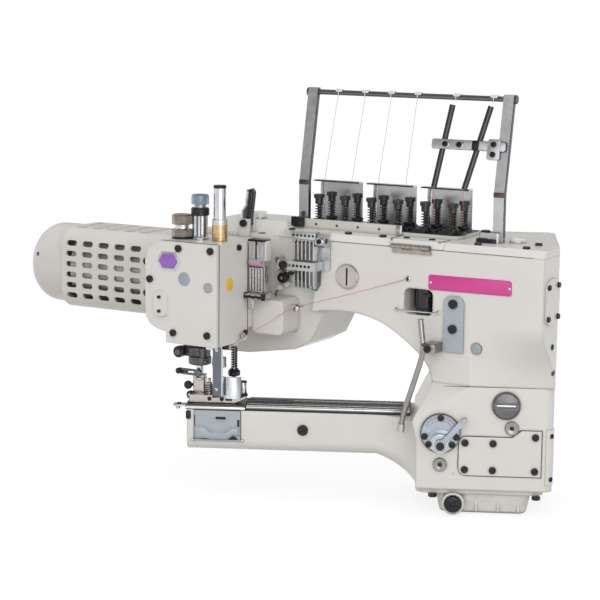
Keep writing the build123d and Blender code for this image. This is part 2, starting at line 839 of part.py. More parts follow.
# Arm casting: turned arm with its arched underside, and the column that blends into the base
arch_points = [
    (63, 184.6),
    (100, 189.3),
    (151, 181.7),
    (188, 160),
    (207, 143),
    (214, 131),
    (arch_foot_u, parting_z),
]
wedge_steps = [(parting_z, 0.02), (136, 0.14), (150, 0.35), (164, 0.63), (178, 0.89), (wedge_top, 1.0)]
wedge_foot = Vector(base_right, -base_half_depth, 0)
wedge_nose = arm_point(arm_right_u, arm_front_v, 0)
left_profile = [
    (arm_left_u, 150),
    (-60, 126),
    (-26, 127),
    (36, 137),
    (55, 147),
    (73, 182),
    (82, arm_top),
    (arm_left_u, arm_top),
]
with BuildPart() as arm_casting:
    # slab of the arm between its front and back faces
    with BuildSketch(arm_front(arm_front_v)):
        with BuildLine():
            Spline(arch_points)
            Polyline(
                arch_points[-1],
                (kink_u, parting_z),
                (kink_u, wedge_top),
                (arm_right_u, wedge_top),
                (arm_right_u, arm_top),
                (74, arm_top),
                arch_points[0],
            )
        make_face()
    extrude(amount=arm_front_v - arm_back_v)
    # left end with the belly under the main shaft
    with BuildSketch(arm_front(neck_v)):
        with BuildLine():
            Polyline(left_profile, close=True)
        belly = make_face()
        fillet(belly.vertices().group_by(Axis.Y)[0], 14)
    extrude(amount=neck_v - arm_back_v + 6)
    # column standing on the base
    with BuildSketch(Plane.XY.offset(parting_z)):
        with BuildLine():
            Polyline(
                plan_of(arch_foot_u, arm_front_v),
                plan_of(kink_u, arm_front_v),
                (base_right, side_turn_y),
                (base_right, base_half_depth),
                (column_left, base_half_depth),
                close=True,
            )
        column = make_face()
        fillet(column.vertices().group_by(Axis.Y)[-1], base_corner_radius)
    extrude(amount=arm_top - parting_z)
    # wedge that turns the front of the column from the base direction to the arm direction
    for z, share in wedge_steps:
        nose = wedge_foot + (wedge_nose - wedge_foot) * share
        with BuildSketch(Plane.XY.offset(z)):
            with BuildLine():
                Polyline(
                    plan_of(kink_u, arm_front_v),
                    (nose.X, nose.Y),
                    (base_right, side_turn_y),
                    (base_right - 8, -base_half_depth + 14),
                    (kink_x + 8, -base_half_depth + 14),
                    close=True,
                )
            make_face()
    loft()
    split(bisect_by=Plane.YZ.offset(base_right), keep=Keep.BOTTOM)
    # neck between the arm and the head, and the small thread guide housing beside it
    with BuildSketch(arm_front(neck_back_v)):
        with Locations((arm_left_u / 2, (neck_bottom + neck_top) / 2)):
            Rectangle(-arm_left_u, neck_top - neck_bottom)
    extrude(amount=neck_back_v - head_depth)
    with BuildSketch(arm_front(neck_v + 4)):
        with Locations(guide_housing_place):
            RectangleRounded(guide_housing_width, guide_housing_height, 7)
    extrude(amount=neck_v + 4 - head_depth - guide_housing_setback)
    # domed top with the oil filler, and the two ears of the lifting lever
    with BuildSketch(arm_level(arm_top - 2)):
        with Locations(((dome_left + dome_right) / 2, (dome_front + dome_back) / 2)):
            RectangleRounded(dome_right - dome_left, dome_back - dome_front, 14)
    extrude(amount=dome_top - arm_top + 2, taper=dome_taper)
    with BuildSketch(arm_side(ear_u - ear_width / 2)):
        with Locations((ear_v, (neck_top - 2 + ear_top) / 2)):
            Rectangle(ear_gap + 2 * ear_thickness, ear_top - neck_top + 2)
        with Locations((ear_v, (arm_top + ear_top) / 2 + 1)):
            Rectangle(ear_gap, ear_top - arm_top + 2, mode=Mode.SUBTRACT)
    extrude(amount=ear_width)
    with BuildSketch(arm_front(ear_v)):
        with Locations((ear_u, ear_z)):
            Circle(lever_pin_radius)
    extrude(amount=ear_gap + 2 * ear_thickness, both=True, mode=Mode.SUBTRACT)
    # window, thread hole and the well under the hinged lid
    with BuildSketch(arm_front(arm_front_v)):
        with Locations(((window_left + window_right) / 2, (window_bottom + window_top) / 2)):
            RectangleRounded(window_right - window_left, window_top - window_bottom, 7)
    extrude(amount=-window_depth, mode=Mode.SUBTRACT)
    with BuildSketch(arm_front(arm_front_v)):
        with Locations(eyelet_place):
            Circle(2.6)
    extrude(amount=-12, mode=Mode.SUBTRACT)
    with BuildSketch(arm_front(arm_front_v + 3)):
        with Locations(arm_plug_place):
            Circle(arm_plug_radius + shaft_gap)
    extrude(amount=6, mode=Mode.SUBTRACT)
    with BuildSketch(arm_level(arm_top)):
        with Locations(((lid_left + lid_right) / 2, (arm_front_v + 8 + lid_back_v - 5) / 2)):
            RectangleRounded(lid_right - lid_left - 14, lid_depth - 13, 0.5 * lid_corner)
    extrude(amount=-lid_well_depth, mode=Mode.SUBTRACT)
    with BuildSketch(arm_side(arm_left_u)):
        with Locations((motor_axis_v, motor_axis_z)):
            Circle(main_shaft_radius + shaft_gap)
    extrude(amount=shaft_bore_depth, mode=Mode.SUBTRACT)
arm_casting.part.label = "arm_casting"
export_step(arm_casting.part, "parts/arm_casting.step")

# Flat and slotted covers seated on the arm top
lid_gap = panel_gap / 2
with BuildPart() as top_cover:
    with BuildSketch(Plane.XY.offset(arm_top)):
        with BuildLine():
            Polyline(
                plan_of(top_cover_left, neck_v),
                plan_of(84, neck_v),
                plan_of(84, arm_front_v),
                plan_of(arm_right_u, arm_front_v),
                (base_right, side_turn_y),
                (base_right, base_half_depth),
                (column_left, base_half_depth),
                plan_of(top_cover_left, arm_back_v),
                close=True,
            )
        cover_plan = make_face()
        fillet(cover_plan.vertices().sort_by(Axis.X)[-1], base_corner_radius)
    extrude(amount=cover_thickness)
    front_edges = top_cover.faces().sort_by(Axis.Z)[-1].edges()
    chamfer(front_edges.sort_by_distance(arm_point(220, arm_front_v, top_plane))[0], cover_chamfer)
    with BuildSketch(arm_level(arm_top)):
        with Locations(((lid_left + lid_right) / 2, (arm_front_v - 4 + lid_back_v) / 2)):
            RectangleRounded(lid_right - lid_left, lid_depth + 4, lid_corner)
        with Locations(((lid_left + lid_right) / 2, arm_front_v + 3)):
            Rectangle(lid_right - lid_left, 8)
    extrude(amount=cover_thickness, mode=Mode.SUBTRACT)
top_cover.part.label = "top_cover"
export_step(top_cover.part, "parts/top_cover.step")

# Hinged lid with two of the four hinge knuckles
knuckle_length = (hinge_right - hinge_left) / 4
knuckle_centers = [hinge_left + (n + 0.5) * knuckle_length for n in range(4)]
with BuildPart() as hinged_lid:
    with BuildSketch(arm_level(arm_top + lid_gap)):
        with Locations(((lid_left + lid_right) / 2, (arm_front_v + lid_back_v) / 2)):
            RectangleRounded(
                lid_right - lid_left - 2 * lid_gap, lid_depth - 2 * lid_gap, lid_corner - lid_gap
            )
        with Locations(((lid_left + lid_right) / 2, arm_front_v + 4)):
            Rectangle(lid_right - lid_left - 2 * lid_gap, 8 - 2 * lid_gap)
    extrude(amount=cover_thickness - lid_gap)
    lid_edges = hinged_lid.faces().sort_by(Axis.Z)[-1].edges()
    chamfer(lid_edges.sort_by_distance(arm_point(193, arm_front_v, top_plane))[0], cover_chamfer - 0.6)
    for center in knuckle_centers[1::2]:
        with BuildSketch(arm_side(center - knuckle_length / 2 + lid_gap)):
            with Locations((hinge_v, hinge_z)):
                Circle(hinge_radius)
            with Locations(((hinge_v + arm_front_v + 1) / 2, arm_top + lid_gap + 0.9)):
                Rectangle(arm_front_v + 1 - hinge_v, 1.8)
        extrude(amount=knuckle_length - 2 * lid_gap)
    with BuildSketch(arm_side(hinge_left - 1)):
        with Locations((hinge_v, hinge_z)):
            Circle(hinge_pin_radius + shaft_gap)
    extrude(amount=hinge_right - hinge_left + 2, mode=Mode.SUBTRACT)
hinged_lid.part.label = "hinged_lid"
export_step(hinged_lid.part, "parts/hinged_lid.step")

# Hinge leaf on the arm with the other knuckles, and its pin
with BuildPart() as lid_hinge:
    for center in knuckle_centers[0::2]:
        with BuildSketch(arm_side(center - knuckle_length / 2)):
            with Locations((hinge_v, hinge_z)):
                Circle(hinge_radius)
            with Locations((arm_front_v - leaf_thickness / 2, hinge_z - hinge_radius)):
                Rectangle(leaf_thickness, 2 * hinge_radius)
        extrude(amount=knuckle_length)
    with BuildSketch(arm_front(arm_front_v)):
        with Locations(((hinge_left + hinge_right) / 2, hinge_z - hinge_radius - 3.4)):
            Rectangle(hinge_right - hinge_left, 4)
    extrude(amount=leaf_thickness)
    with BuildSketch(arm_side(hinge_left)):
        with Locations((hinge_v, hinge_z)):
            Circle(hinge_pin_radius)
    extrude(amount=hinge_right - hinge_left)
lid_hinge.part.label = "lid_hinge"
export_step(lid_hinge.part, "parts/lid_hinge.step")

# Head housing: a hollow box with a rounded lower lobe, bored for the bars
face_outline = [
    (0, head_bottom),
    (-67, head_bottom),
    (-67, 164.5),
    (-78, 166.5),
    (-88, 171),
    (-94, 179),
    (-95, 190),
    (-95, 244),
    (-90, 258),
    (-76, head_top),
    (0, head_top),
]
bore_places = [(needle_u, needle_v, needle_bar_radius), (presser_u, needle_v, presser_bar_radius)]
with BuildPart() as head_housing:
    with BuildSketch(arm_front(head_depth)):
        with BuildLine():
            Polyline(face_outline, close=True)
        make_face()
    extrude(amount=head_depth - face_thickness)
    with BuildSketch(arm_front(head_depth - head_wall)):
        with BuildLine():
            Polyline(face_outline, close=True)
        make_face()
        offset(amount=-head_wall, kind=Kind.INTERSECTION)
    extrude(amount=head_depth - head_wall, mode=Mode.SUBTRACT)
    with BuildSketch(arm_level(head_bottom - 1)):
        for u, v, radius in bore_places:
            with Locations((u, v)):
                Circle(radius + shaft_gap)
        with Locations(spreader_place):
            Circle(spreader_radius + shaft_gap)
    extrude(amount=20, mode=Mode.SUBTRACT)
    with BuildSketch(arm_level(head_top - 20)):
        for u, v, radius in bore_places:
            with Locations((u, v)):
                Circle(radius + shaft_gap)
        with Locations(knob_place):
            Circle(knob_stem_radius + shaft_gap)
    extrude(amount=30, mode=Mode.SUBTRACT)
head_housing.part.label = "head_housing"
export_step(head_housing.part, "parts/head_housing.step")

# Face plate with its raised pad
with BuildPart() as face_plate:
    with BuildSketch(arm_front(face_thickness)):
        with BuildLine():
            Polyline(face_outline, close=True)
        make_face()
    extrude(amount=face_thickness)
    with BuildSketch(arm_front(0)):
        with Locations((pad_u, pad_z)):
            RectangleRounded(pad_width, pad_length, 6)
    extrude(amount=pad_height, taper=25)
face_plate.part.label = "face_plate"
export_step(face_plate.part, "parts/face_plate.step")

# Turned parts on top of the head: presser regulator, dial sleeve and knob, needle bar guard
with BuildPart() as pressure_knob:
    with BuildSketch(arm_side(knob_place[0])) as knob_profile:
        with BuildLine():
            Polyline(
                (knob_place[1], head_top - knob_stem_depth),
                (knob_place[1] + knob_stem_radius, head_top - knob_stem_depth),
                (knob_place[1] + knob_stem_radius, head_top + running_gap),
                (knob_place[1] + knob_radius - 2, head_top + running_gap),
                (knob_place[1] + knob_radius - 2, head_top + 2.4),
                (knob_place[1] + knob_radius, head_top + 2.8),
                (knob_place[1] + knob_radius, head_top + knob_ring_height),
                (knob_place[1] + knob_waist_radius, head_top + knob_ring_height),
                (knob_place[1] + knob_waist_radius, head_top + knob_ring_height + knob_waist_height),
                (knob_place[1] + knob_radius, head_top + knob_ring_height + knob_waist_height),
                (knob_place[1] + knob_radius, head_top + knob_height - 1.4),
                (knob_place[1] + knob_radius - 1.4, head_top + knob_height),
                (knob_place[1], head_top + knob_height),
                close=True,
            )
        make_face()
    revolve(axis=Axis(arm_point(*knob_place, 0), up))
pressure_knob.part.label = "pressure_knob"
export_step(pressure_knob.part, "parts/pressure_knob.step")

dial_stem_bottom = guard_seat
sleeve_top = head_top + sleeve_height
with BuildPart() as dial_sleeve:
    with BuildSketch(arm_side(presser_u)):
        with BuildLine():
            Polyline(
                (needle_v + dial_stem_radius + 0.4, head_top),
                (needle_v + sleeve_radius, head_top),
                (needle_v + sleeve_radius, sleeve_top - sleeve_rim_height),
                (needle_v + sleeve_radius + 1, sleeve_top - sleeve_rim_height + 1),
                (needle_v + sleeve_radius + 1, sleeve_top),
                (needle_v + dial_stem_radius + 0.4, sleeve_top),
                close=True,
            )
        make_face()
    revolve(axis=Axis(arm_point(presser_u, needle_v, 0), up))
dial_sleeve.part.label = "dial_sleeve"
export_step(dial_sleeve.part, "parts/dial_sleeve.step")

dial_top = sleeve_top + dial_height
with BuildPart() as dial_knob:
    with BuildSketch(arm_side(presser_u)):
        with BuildLine():
            Polyline(
                (needle_v, dial_stem_bottom),
                (needle_v + dial_stem_radius, dial_stem_bottom),
                (needle_v + dial_stem_radius, sleeve_top + running_gap),
                (needle_v + dial_waist_radius, sleeve_top + running_gap),
                (needle_v + dial_waist_radius, sleeve_top + dial_height / 2),
                (needle_v + dial_knob_radius, sleeve_top + dial_height / 2 + 0.6),
                (needle_v + dial_knob_radius, dial_top - 1),
                (needle_v + dial_knob_radius - 0.8, dial_top),
                (needle_v, dial_top),
                close=True,
            )
        make_face()
    revolve(axis=Axis(arm_point(presser_u, needle_v, 0), up))
dial_knob.part.label = "dial_knob"
export_step(dial_knob.part, "parts/dial_knob.step")

guard_bore = needle_bar_radius + guard_play
with BuildPart() as guard_base:
    with BuildSketch(arm_level(head_top)):
        with Locations((needle_u, needle_v)):
            Circle(guard_base_radius)
            Circle(guard_bore, mode=Mode.SUBTRACT)
    extrude(amount=guard_seat - head_top)
guard_base.part.label = "guard_base"
export_step(guard_base.part, "parts/guard_base.step")

with BuildPart() as guard_tube:
    with BuildSketch(arm_side(needle_u)):
        with BuildLine():
            Polyline(
                (needle_v + guard_bore, guard_seat),
                (needle_v + guard_base_radius, guard_seat),
                (needle_v + guard_base_radius, guard_seat + 2),
                (needle_v + guard_tube_radius, guard_seat + 5),
                (needle_v + guard_tube_radius, guard_top - 1.5),
                (needle_v + guard_tube_radius - 1.5, guard_top),
                (needle_v, guard_top),
                (needle_v, guard_top - 2.5),
                (needle_v + guard_bore, guard_top - 2.5),
                close=True,
            )
        make_face()
    revolve(axis=Axis(arm_point(needle_u, needle_v, 0), up))
guard_tube.part.label = "guard_tube"
export_step(guard_tube.part, "parts/guard_tube.step")

# Needle bar with its clamp and four needles
clamp_seat = clamp_bottom + 3
with BuildPart() as needle_bar:
    with BuildSketch(arm_level(clamp_seat)):
        with Locations((needle_u, needle_v)):
            Circle(needle_bar_radius)
    extrude(amount=needle_bar_top - clamp_seat)
needle_bar.part.label = "needle_bar"
export_step(needle_bar.part, "parts/needle_bar.step")

with BuildPart() as needle_clamp:
    with BuildSketch(arm_level(clamp_bottom)):
        with Locations((needle_u, needle_v)):
            RectangleRounded(clamp_width, clamp_depth, 4)
    extrude(amount=clamp_top - clamp_bottom)
    chamfer(needle_clamp.faces().sort_by(Axis.Z)[0].edges(), 1.5)
    with BuildSketch(arm_level(clamp_seat)):
        with Locations((needle_u, needle_v)):
            Circle(needle_bar_radius)
    extrude(amount=clamp_top - clamp_bottom, mode=Mode.SUBTRACT)
    with BuildSketch(Plane.XY.offset(needle_tip + needle_point)):
        with Locations((needle_x, needle_y)):
            with GridLocations(0, needle_pitch, 1, needle_count):
                Circle(needle_radius)
    extrude(amount=clamp_bottom - needle_tip - needle_point)
    with BuildSketch(Plane.XY.offset(needle_tip + needle_point)):
        with Locations((needle_x, needle_y)):
            with GridLocations(0, needle_pitch, 1, needle_count):
                Circle(needle_radius)
    extrude(amount=-needle_point, taper=6)
needle_clamp.part.label = "needle_clamp"
export_step(needle_clamp.part, "parts/needle_clamp.step")

# Presser bar, its guide block and the presser foot
with BuildPart() as presser_bar:
    with BuildSketch(arm_level(presser_bar_bottom)):
        with Locations((presser_u, needle_v)):
            Circle(presser_bar_radius)
    extrude(amount=presser_bar_top - presser_bar_bottom)
presser_bar.part.label = "presser_bar"
export_step(presser_bar.part, "parts/presser_bar.step")

with BuildPart() as presser_collar:
    with BuildSketch(arm_level(collar_bottom)):
        with Locations((presser_u, needle_v)):
            Circle(collar_radius)
            Circle(presser_bar_radius, mode=Mode.SUBTRACT)
    extrude(amount=collar_height)
    chamfer(presser_collar.faces().sort_by(Axis.Z)[0].edges().sort_by(Edge.length)[-1], 1)
    with BuildSketch(arm_level(collar_bottom + collar_height)):
        with Locations((presser_u - 5, needle_v)):
            RectangleRounded(guide_block_width, guide_block_depth, 5)
        with Locations((presser_u, needle_v)):
            Circle(presser_bar_radius, mode=Mode.SUBTRACT)
    extrude(amount=guide_block_height)
    with BuildSketch(arm_front(needle_v - guide_block_depth / 2 + 0.5)):
        with Locations((presser_u - 20, collar_bottom + collar_height + guide_block_height / 2)):
            Circle(guide_block_height / 2 + 1)
    extrude(amount=6)
presser_collar.part.label = "presser_collar"
export_step(presser_collar.part, "parts/presser_collar.step")

foot_bottom = plate_top + foot_gap
foot_right = needle_x + foot_toe_reach
foot_left = presser_x - foot_heel_reach
foot_hub_bottom = foot_bottom + foot_sole_height - 2.5
with BuildPart() as presser_foot:
    # hub clamped to the lower end of the presser bar
    with BuildSketch(Plane.XY.offset(foot_hub_bottom)):
        with Locations((presser_x, presser_y)):
            RectangleRounded(15, 14, 4)
            Circle(presser_bar_radius, mode=Mode.SUBTRACT)
    extrude(amount=foot_top - foot_hub_bottom)
    # sole with its turned-up toe, seen from the front of the bed
    with BuildSketch(bed_front(needle_y - foot_sole_width / 2 + 1)):
        with BuildLine():
            Polyline(
                (foot_left, foot_bottom),
                (foot_right - 12, foot_bottom),
                (foot_right, foot_bottom + 6),
                (foot_right, foot_bottom + 8),
                (foot_right - 14, foot_bottom + 5),
                (foot_right - 24, foot_bottom + foot_sole_height),
                (foot_left, foot_bottom + foot_sole_height),
                close=True,
            )
        make_face()
    extrude(amount=-foot_sole_width)
    with BuildSketch(Plane.XY.offset(foot_bottom)):
        with Locations((needle_x, needle_y)):
            SlotOverall(needle_slot_length, 6, rotation=90)
    extrude(amount=foot_sole_height + 3.5, mode=Mode.SUBTRACT)
    with BuildSketch(Plane.XY.offset(foot_bottom + 2)):
        with Locations((foot_right - 14, needle_y + 1)):
            Rectangle(22, 9)
    extrude(amount=foot_sole_height, mode=Mode.SUBTRACT)
presser_foot.part.label = "presser_foot"
export_step(presser_foot.part, "parts/presser_foot.step")

# Spreader shaft with its spring and arm, beside the needle bar
spreader_u, spreader_v = spreader_place
spring_points = [(spreader_v, spreader_spring_bottom)]
for turn_number in range(spreader_spring_turns):
    low = spreader_spring_bottom + turn_number * spreader_spring_pitch
    spring_points += [
        (spreader_v + spreader_spring_core, low),
        (spreader_v + spreader_spring_radius, low + spreader_spring_pitch / 2),
    ]
spreader_spring_top = spreader_spring_bottom + spreader_spring_turns * spreader_spring_pitch
spring_points += [(spreader_v + spreader_spring_core, spreader_spring_top), (spreader_v, spreader_spring_top)]
with BuildPart() as spreader:
    with BuildSketch(arm_level(spreader_bottom)):
        with Locations(spreader_place):
            Circle(spreader_radius)
    extrude(amount=head_bottom + 10 - spreader_bottom)
    with BuildSketch(arm_side(spreader_u)):
        with BuildLine():
            Polyline(spring_points, close=True)
        make_face()
    revolve(axis=Axis(arm_point(spreader_u, spreader_v, 0), up))
    with BuildSketch(arm_level(spreader_bottom + 7)):
        with Locations(spreader_place):
            Circle(spreader_spring_radius + 2.4)
        with Locations((spreader_u + 3, spreader_v - 4)):
            RectangleRounded(9, 14, 3)
    extrude(amount=5)
spreader.part.label = "spreader"
export_step(spreader.part, "parts/spreader.step")

# Finger guard: flat steel strip under the head that carries the curved shield before the needles
guard_strip_u = needle_u + 6.5
guard_strip_v = needle_v - 14
with BuildPart() as finger_guard:
    with BuildSketch(arm_level(guard_strip_bottom)):
        with Locations((guard_strip_u, guard_strip_v)):
            RectangleRounded(guard_strip_width, guard_strip_thickness, 0.8)
    extrude(amount=head_bottom - guard_strip_bottom)
    with BuildSketch(arm_level(guard_strip_bottom)):
        with BuildLine():
            shield = CenterArc((needle_u + 11, needle_v + 2), shield_radius, -110, 100)
            offset(shield, shield_thickness, side=Side.RIGHT)
        make_face()
    extrude(amount=shield_height)
finger_guard.part.label = "finger_guard"
export_step(finger_guard.part, "parts/finger_guard.step")

# Vented motor cover, open at both ends
slot_middle_u = slot_first_u + (slot_columns - 1) * slot_pitch_u / 2
with BuildPart() as motor_cover:
    with BuildSketch(arm_side(motor_left)):
        with Locations((motor_axis_v, motor_axis_z)):
            RectangleRounded(motor_side, motor_side, motor_corner)
            RectangleRounded(
                motor_side - 2 * motor_wall,
                motor_side - 2 * motor_wall,
                motor_corner - motor_wall,
                mode=Mode.SUBTRACT,
            )
    extrude(amount=motor_right - motor_left)
    with BuildSketch(arm_front(motor_axis_v - motor_side / 2)):
        with Locations((slot_middle_u, motor_axis_z)):
            with GridLocations(slot_pitch_u, slot_pitch_z, slot_columns, slot_rows):
                SlotOverall(slot_length, slot_height)
    extrude(amount=-motor_side, mode=Mode.SUBTRACT)
    with BuildSketch(arm_level(motor_axis_z + motor_side / 2)):
        with Locations((slot_middle_u, motor_axis_v)):
            with GridLocations(slot_pitch_u, slot_pitch_z, slot_columns, slot_rows - 1):
                SlotOverall(slot_length, slot_height)
    extrude(amount=-2 * motor_wall, mode=Mode.SUBTRACT)
motor_cover.part.label = "motor_cover"
export_step(motor_cover.part, "parts/motor_cover.step")

# Stator with its stacked ribs, held inside the cover
stator_radius = motor_side / 2 - motor_wall - running_gap
with BuildPart() as motor_stator:
    with BuildSketch(arm_side(stator_left)):
        with Locations((motor_axis_v, motor_axis_z)):
            Circle(stator_radius)
            Circle(rotor_radius + running_gap, mode=Mode.SUBTRACT)
            with PolarLocations(stator_radius, stator_rib_count):
                Rectangle(8, 6, mode=Mode.SUBTRACT)
    extrude(amount=stator_right - stator_left)
motor_stator.part.label = "motor_stator"
export_step(motor_stator.part, "parts/motor_stator.step")

shaft_axis = Axis(arm_point(0, motor_axis_v, motor_axis_z), arm_x)
shaft_end = arm_left_u + shaft_bore_depth - 2
with BuildPart() as main_shaft:
    with BuildSketch(arm_level(motor_axis_z)):
        with BuildLine():
            Polyline(
                (wheel_end + wheel_boss_wall, motor_axis_v),
                (wheel_end + wheel_boss_wall, motor_axis_v + main_shaft_radius),
                (stator_left + rotor_inset, motor_axis_v + main_shaft_radius),
                (stator_left + rotor_inset, motor_axis_v + rotor_radius),
                (stator_right - rotor_inset, motor_axis_v + rotor_radius),
                (stator_right - rotor_inset, motor_axis_v + main_shaft_radius),
                (shaft_end, motor_axis_v + main_shaft_radius),
                (shaft_end, motor_axis_v),
                close=True,
            )
        make_face()
    revolve(axis=shaft_axis)
main_shaft.part.label = "main_shaft"
export_step(main_shaft.part, "parts/main_shaft.step")

# Domed handwheel at the outer end of the motor
wheel_left = motor_left - panel_gap
crown_v = motor_axis_v + wheel_radius - wheel_round
with BuildPart() as hand_wheel:
    with BuildSketch(arm_level(motor_axis_z)):
        with BuildLine():
            rim = Line(
                (wheel_left, motor_axis_v + wheel_radius),
                (wheel_end + wheel_round, motor_axis_v + wheel_radius),
            )
            crown = CenterArc((wheel_end + wheel_round, crown_v), wheel_round, 90, 90)
            Polyline(
                crown @ 1,
                (wheel_end, motor_axis_v + main_shaft_radius + 6),
                (wheel_end + 3, motor_axis_v),
                (wheel_end + wheel_boss_wall, motor_axis_v),
                (wheel_end + wheel_boss_wall, motor_axis_v + main_shaft_radius),
                (motor_left - 10, motor_axis_v + main_shaft_radius),
                (motor_left - 10, motor_axis_v + main_shaft_radius + 5),
                (wheel_end + 12, motor_axis_v + main_shaft_radius + 9),
                (wheel_end + 12, crown_v),
                (wheel_end + wheel_round, motor_axis_v + wheel_radius - wheel_wall - 4),
                (wheel_left, motor_axis_v + wheel_radius - wheel_wall),
                rim @ 0,
            )
        make_face()
    revolve(axis=shaft_axis)
    # hole of the set screw
    with BuildSketch(arm_front(motor_axis_v)):
        with Locations((wheel_end + 20, motor_axis_z + 14)):
            Circle(2.6)
    extrude(amount=wheel_radius + 2, mode=Mode.SUBTRACT)
hand_wheel.part.label = "hand_wheel"
export_step(hand_wheel.part, "parts/hand_wheel.step")

# Tension unit: angle rail, posts with discs and springs, turning nuts, guide plates
column_us = [tension_first_u + n * tension_pitch for n in range(tension_columns)]
tension_back_v = tension_front_v + tension_row_pitch
guide_plate_v = tension_back_v + guide_plate_setback
post_places = [(u, v) for v in (tension_front_v, tension_back_v) for u in column_us]
rail_top = top_plane + rail_thickness
rail_back_v = guide_plate_v + rail_margin
bar_middle_u = (bar_left_u + bar_right_u) / 2
with BuildPart() as tension_rail:
    with BuildSketch(arm_level(top_plane)):
        with Locations(((rail_left_u + rail_right_u) / 2, (rail_front_v + rail_back_v) / 2)):
            Rectangle(rail_right_u - rail_left_u, rail_back_v - rail_front_v)
    extrude(amount=rail_thickness)
    with BuildSketch(arm_front(rail_front_v + bar_thickness)):
        with Locations((bar_middle_u, top_plane + bar_height / 2)):
            Rectangle(bar_right_u - bar_left_u, bar_height)
    extrude(amount=bar_thickness)
    with BuildSketch(arm_front(rail_front_v)):
        with Locations((bar_middle_u, top_plane + bar_height / 2)):
            with GridLocations(bar_hole_pitch, 0, 4, 1):
                Circle(bar_hole_radius)
    extrude(amount=-bar_thickness, mode=Mode.SUBTRACT)
tension_rail.part.label = "tension_rail"
export_step(tension_rail.part, "parts/tension_rail.step")

spring_bottom = rail_top + disc_stack_height
nut_bottom = nut_top - nut_height
with BuildPart() as tension_posts:
    with BuildSketch(arm_level(rail_top)):
        with Locations(post_places):
            Circle(disc_radius)
    extrude(amount=disc_thickness)
    with BuildSketch(arm_level(rail_top + disc_thickness)):
        with Locations(post_places):
            Circle(disc_core_radius)
    extrude(amount=disc_gap)
    with BuildSketch(arm_level(rail_top + disc_thickness + disc_gap)):
        with Locations(post_places):
            Circle(disc_radius)
    extrude(amount=disc_stack_height - disc_thickness - disc_gap)
    with BuildSketch(arm_level(rail_top)):
        with Locations(post_places):
            Circle(post_radius)
    extrude(amount=nut_top - 1.5 - rail_top)
tension_posts.part.label = "tension_posts"
export_step(tension_posts.part, "parts/tension_posts.step")

spring_top = nut_bottom - running_gap
ring_pitch = (spring_top - spring_bottom) / spring_rings
with BuildPart() as tension_springs:
    for u, v in post_places:
        with BuildSketch(arm_side(u)):
            with BuildLine():
                spring_line = [(v + post_radius + shaft_gap, spring_bottom)]
                for ring in range(spring_rings):
                    low = spring_bottom + ring * ring_pitch
                    spring_line += [(v + spring_core, low), (v + spring_radius, low + ring_pitch / 2)]
                spring_line += [(v + spring_core, spring_top), (v + post_radius + shaft_gap, spring_top)]
                Polyline(spring_line, close=True)
            make_face()
        revolve(axis=Axis(arm_point(u, v, 0), up))
tension_springs.part.label = "tension_springs"
export_step(tension_springs.part, "parts/tension_springs.step")

for number, (u, v) in enumerate(post_places, start=1):
    with BuildPart() as tension_nut:
        with BuildSketch(arm_level(nut_bottom)):
            with Locations((u, v)):
                Circle(nut_neck_radius)
        extrude(amount=nut_height - nut_head_height)
        with BuildSketch(arm_level(nut_top - nut_head_height)):
            with Locations((u, v)):
                Circle(nut_radius)
                with PolarLocations(nut_radius + 0.3, nut_notch_count):
                    Circle(nut_notch_radius, mode=Mode.SUBTRACT)
        extrude(amount=nut_head_height)
        with BuildSketch(arm_level(nut_bottom)):
            with Locations((u, v)):
                Circle(post_radius + shaft_gap)
        extrude(amount=nut_height, mode=Mode.SUBTRACT)
    tension_nut.part.label = f"tension_nut_{number}"
    export_step(tension_nut.part, f"parts/tension_nut_{number}.step")

lip_front_v = guide_plate_v - guide_lip_depth + sheet_thickness
lip_back_v = guide_plate_v + sheet_thickness
with BuildPart() as guide_plates:
    for n in range(guide_plate_count):
        middle = guide_plate_first_u + n * guide_plate_pitch
        with BuildSketch(arm_front(lip_back_v)):
            with Locations((middle, (rail_top + guide_plate_top) / 2)):
                Rectangle(guide_plate_width, guide_plate_top - rail_top)
        extrude(amount=sheet_thickness)
        with BuildSketch(arm_level(guide_plate_top)):
            with Locations((middle - guide_lip_shift, (lip_front_v + lip_back_v) / 2)):
                Rectangle(guide_plate_width + 2 * guide_lip_shift, lip_back_v - lip_front_v)
            with Locations((middle - guide_lip_shift, (lip_front_v + guide_plate_v) / 2)):
                with GridLocations(guide_plate_width / 4, 0, 4, 1):
                    Circle(guide_hole_radius, mode=Mode.SUBTRACT)
        extrude(amount=-sheet_thickness)
guide_plates.part.label = "guide_plates"
export_step(guide_plates.part, "parts/guide_plates.step")

# Thread stand: two bent uprights, the rod between them, and the side bracket with two tubes
stand_foot_v = rail_front_v + stand_foot_setback
stand_head_v = stand_foot_v + stand_lean
rod_z = stand_head_z - rod_drop
half_thickness = stand_thickness / 2
with BuildPart() as stand_uprights:
    for foot_u, foot_z in ((stand_left_u, rail_top), (stand_right_u, top_plane)):
        with BuildSketch(arm_side(foot_u - stand_width / 2)):
            with BuildLine():
                Polyline(
                    (stand_foot_v - half_thickness, foot_z),
                    (stand_foot_v + half_thickness, foot_z),
                    (stand_foot_v + half_thickness, stand_kink_z),
                    (stand_head_v + half_thickness, stand_head_z),
                    (stand_head_v - half_thickness, stand_head_z),
                    (stand_foot_v - half_thickness, stand_kink_z),
                    close=True,
                )
            make_face()
        extrude(amount=stand_width)
    with BuildSketch(arm_level(top_plane)):
        with Locations((stand_right_u - stand_width / 2 - 2, stand_foot_v)):
            RectangleRounded(stand_block_width, stand_block_depth, 3)
    extrude(amount=stand_block_height)
    with BuildSketch(arm_side(stand_left_u - stand_width / 2)):
        with Locations((stand_head_v, rod_z)):
            Circle(rod_radius)
    extrude(amount=stand_right_u - stand_left_u + stand_width, mode=Mode.SUBTRACT)
stand_uprights.part.label = "stand_uprights"
export_step(stand_uprights.part, "parts/stand_uprights.step")

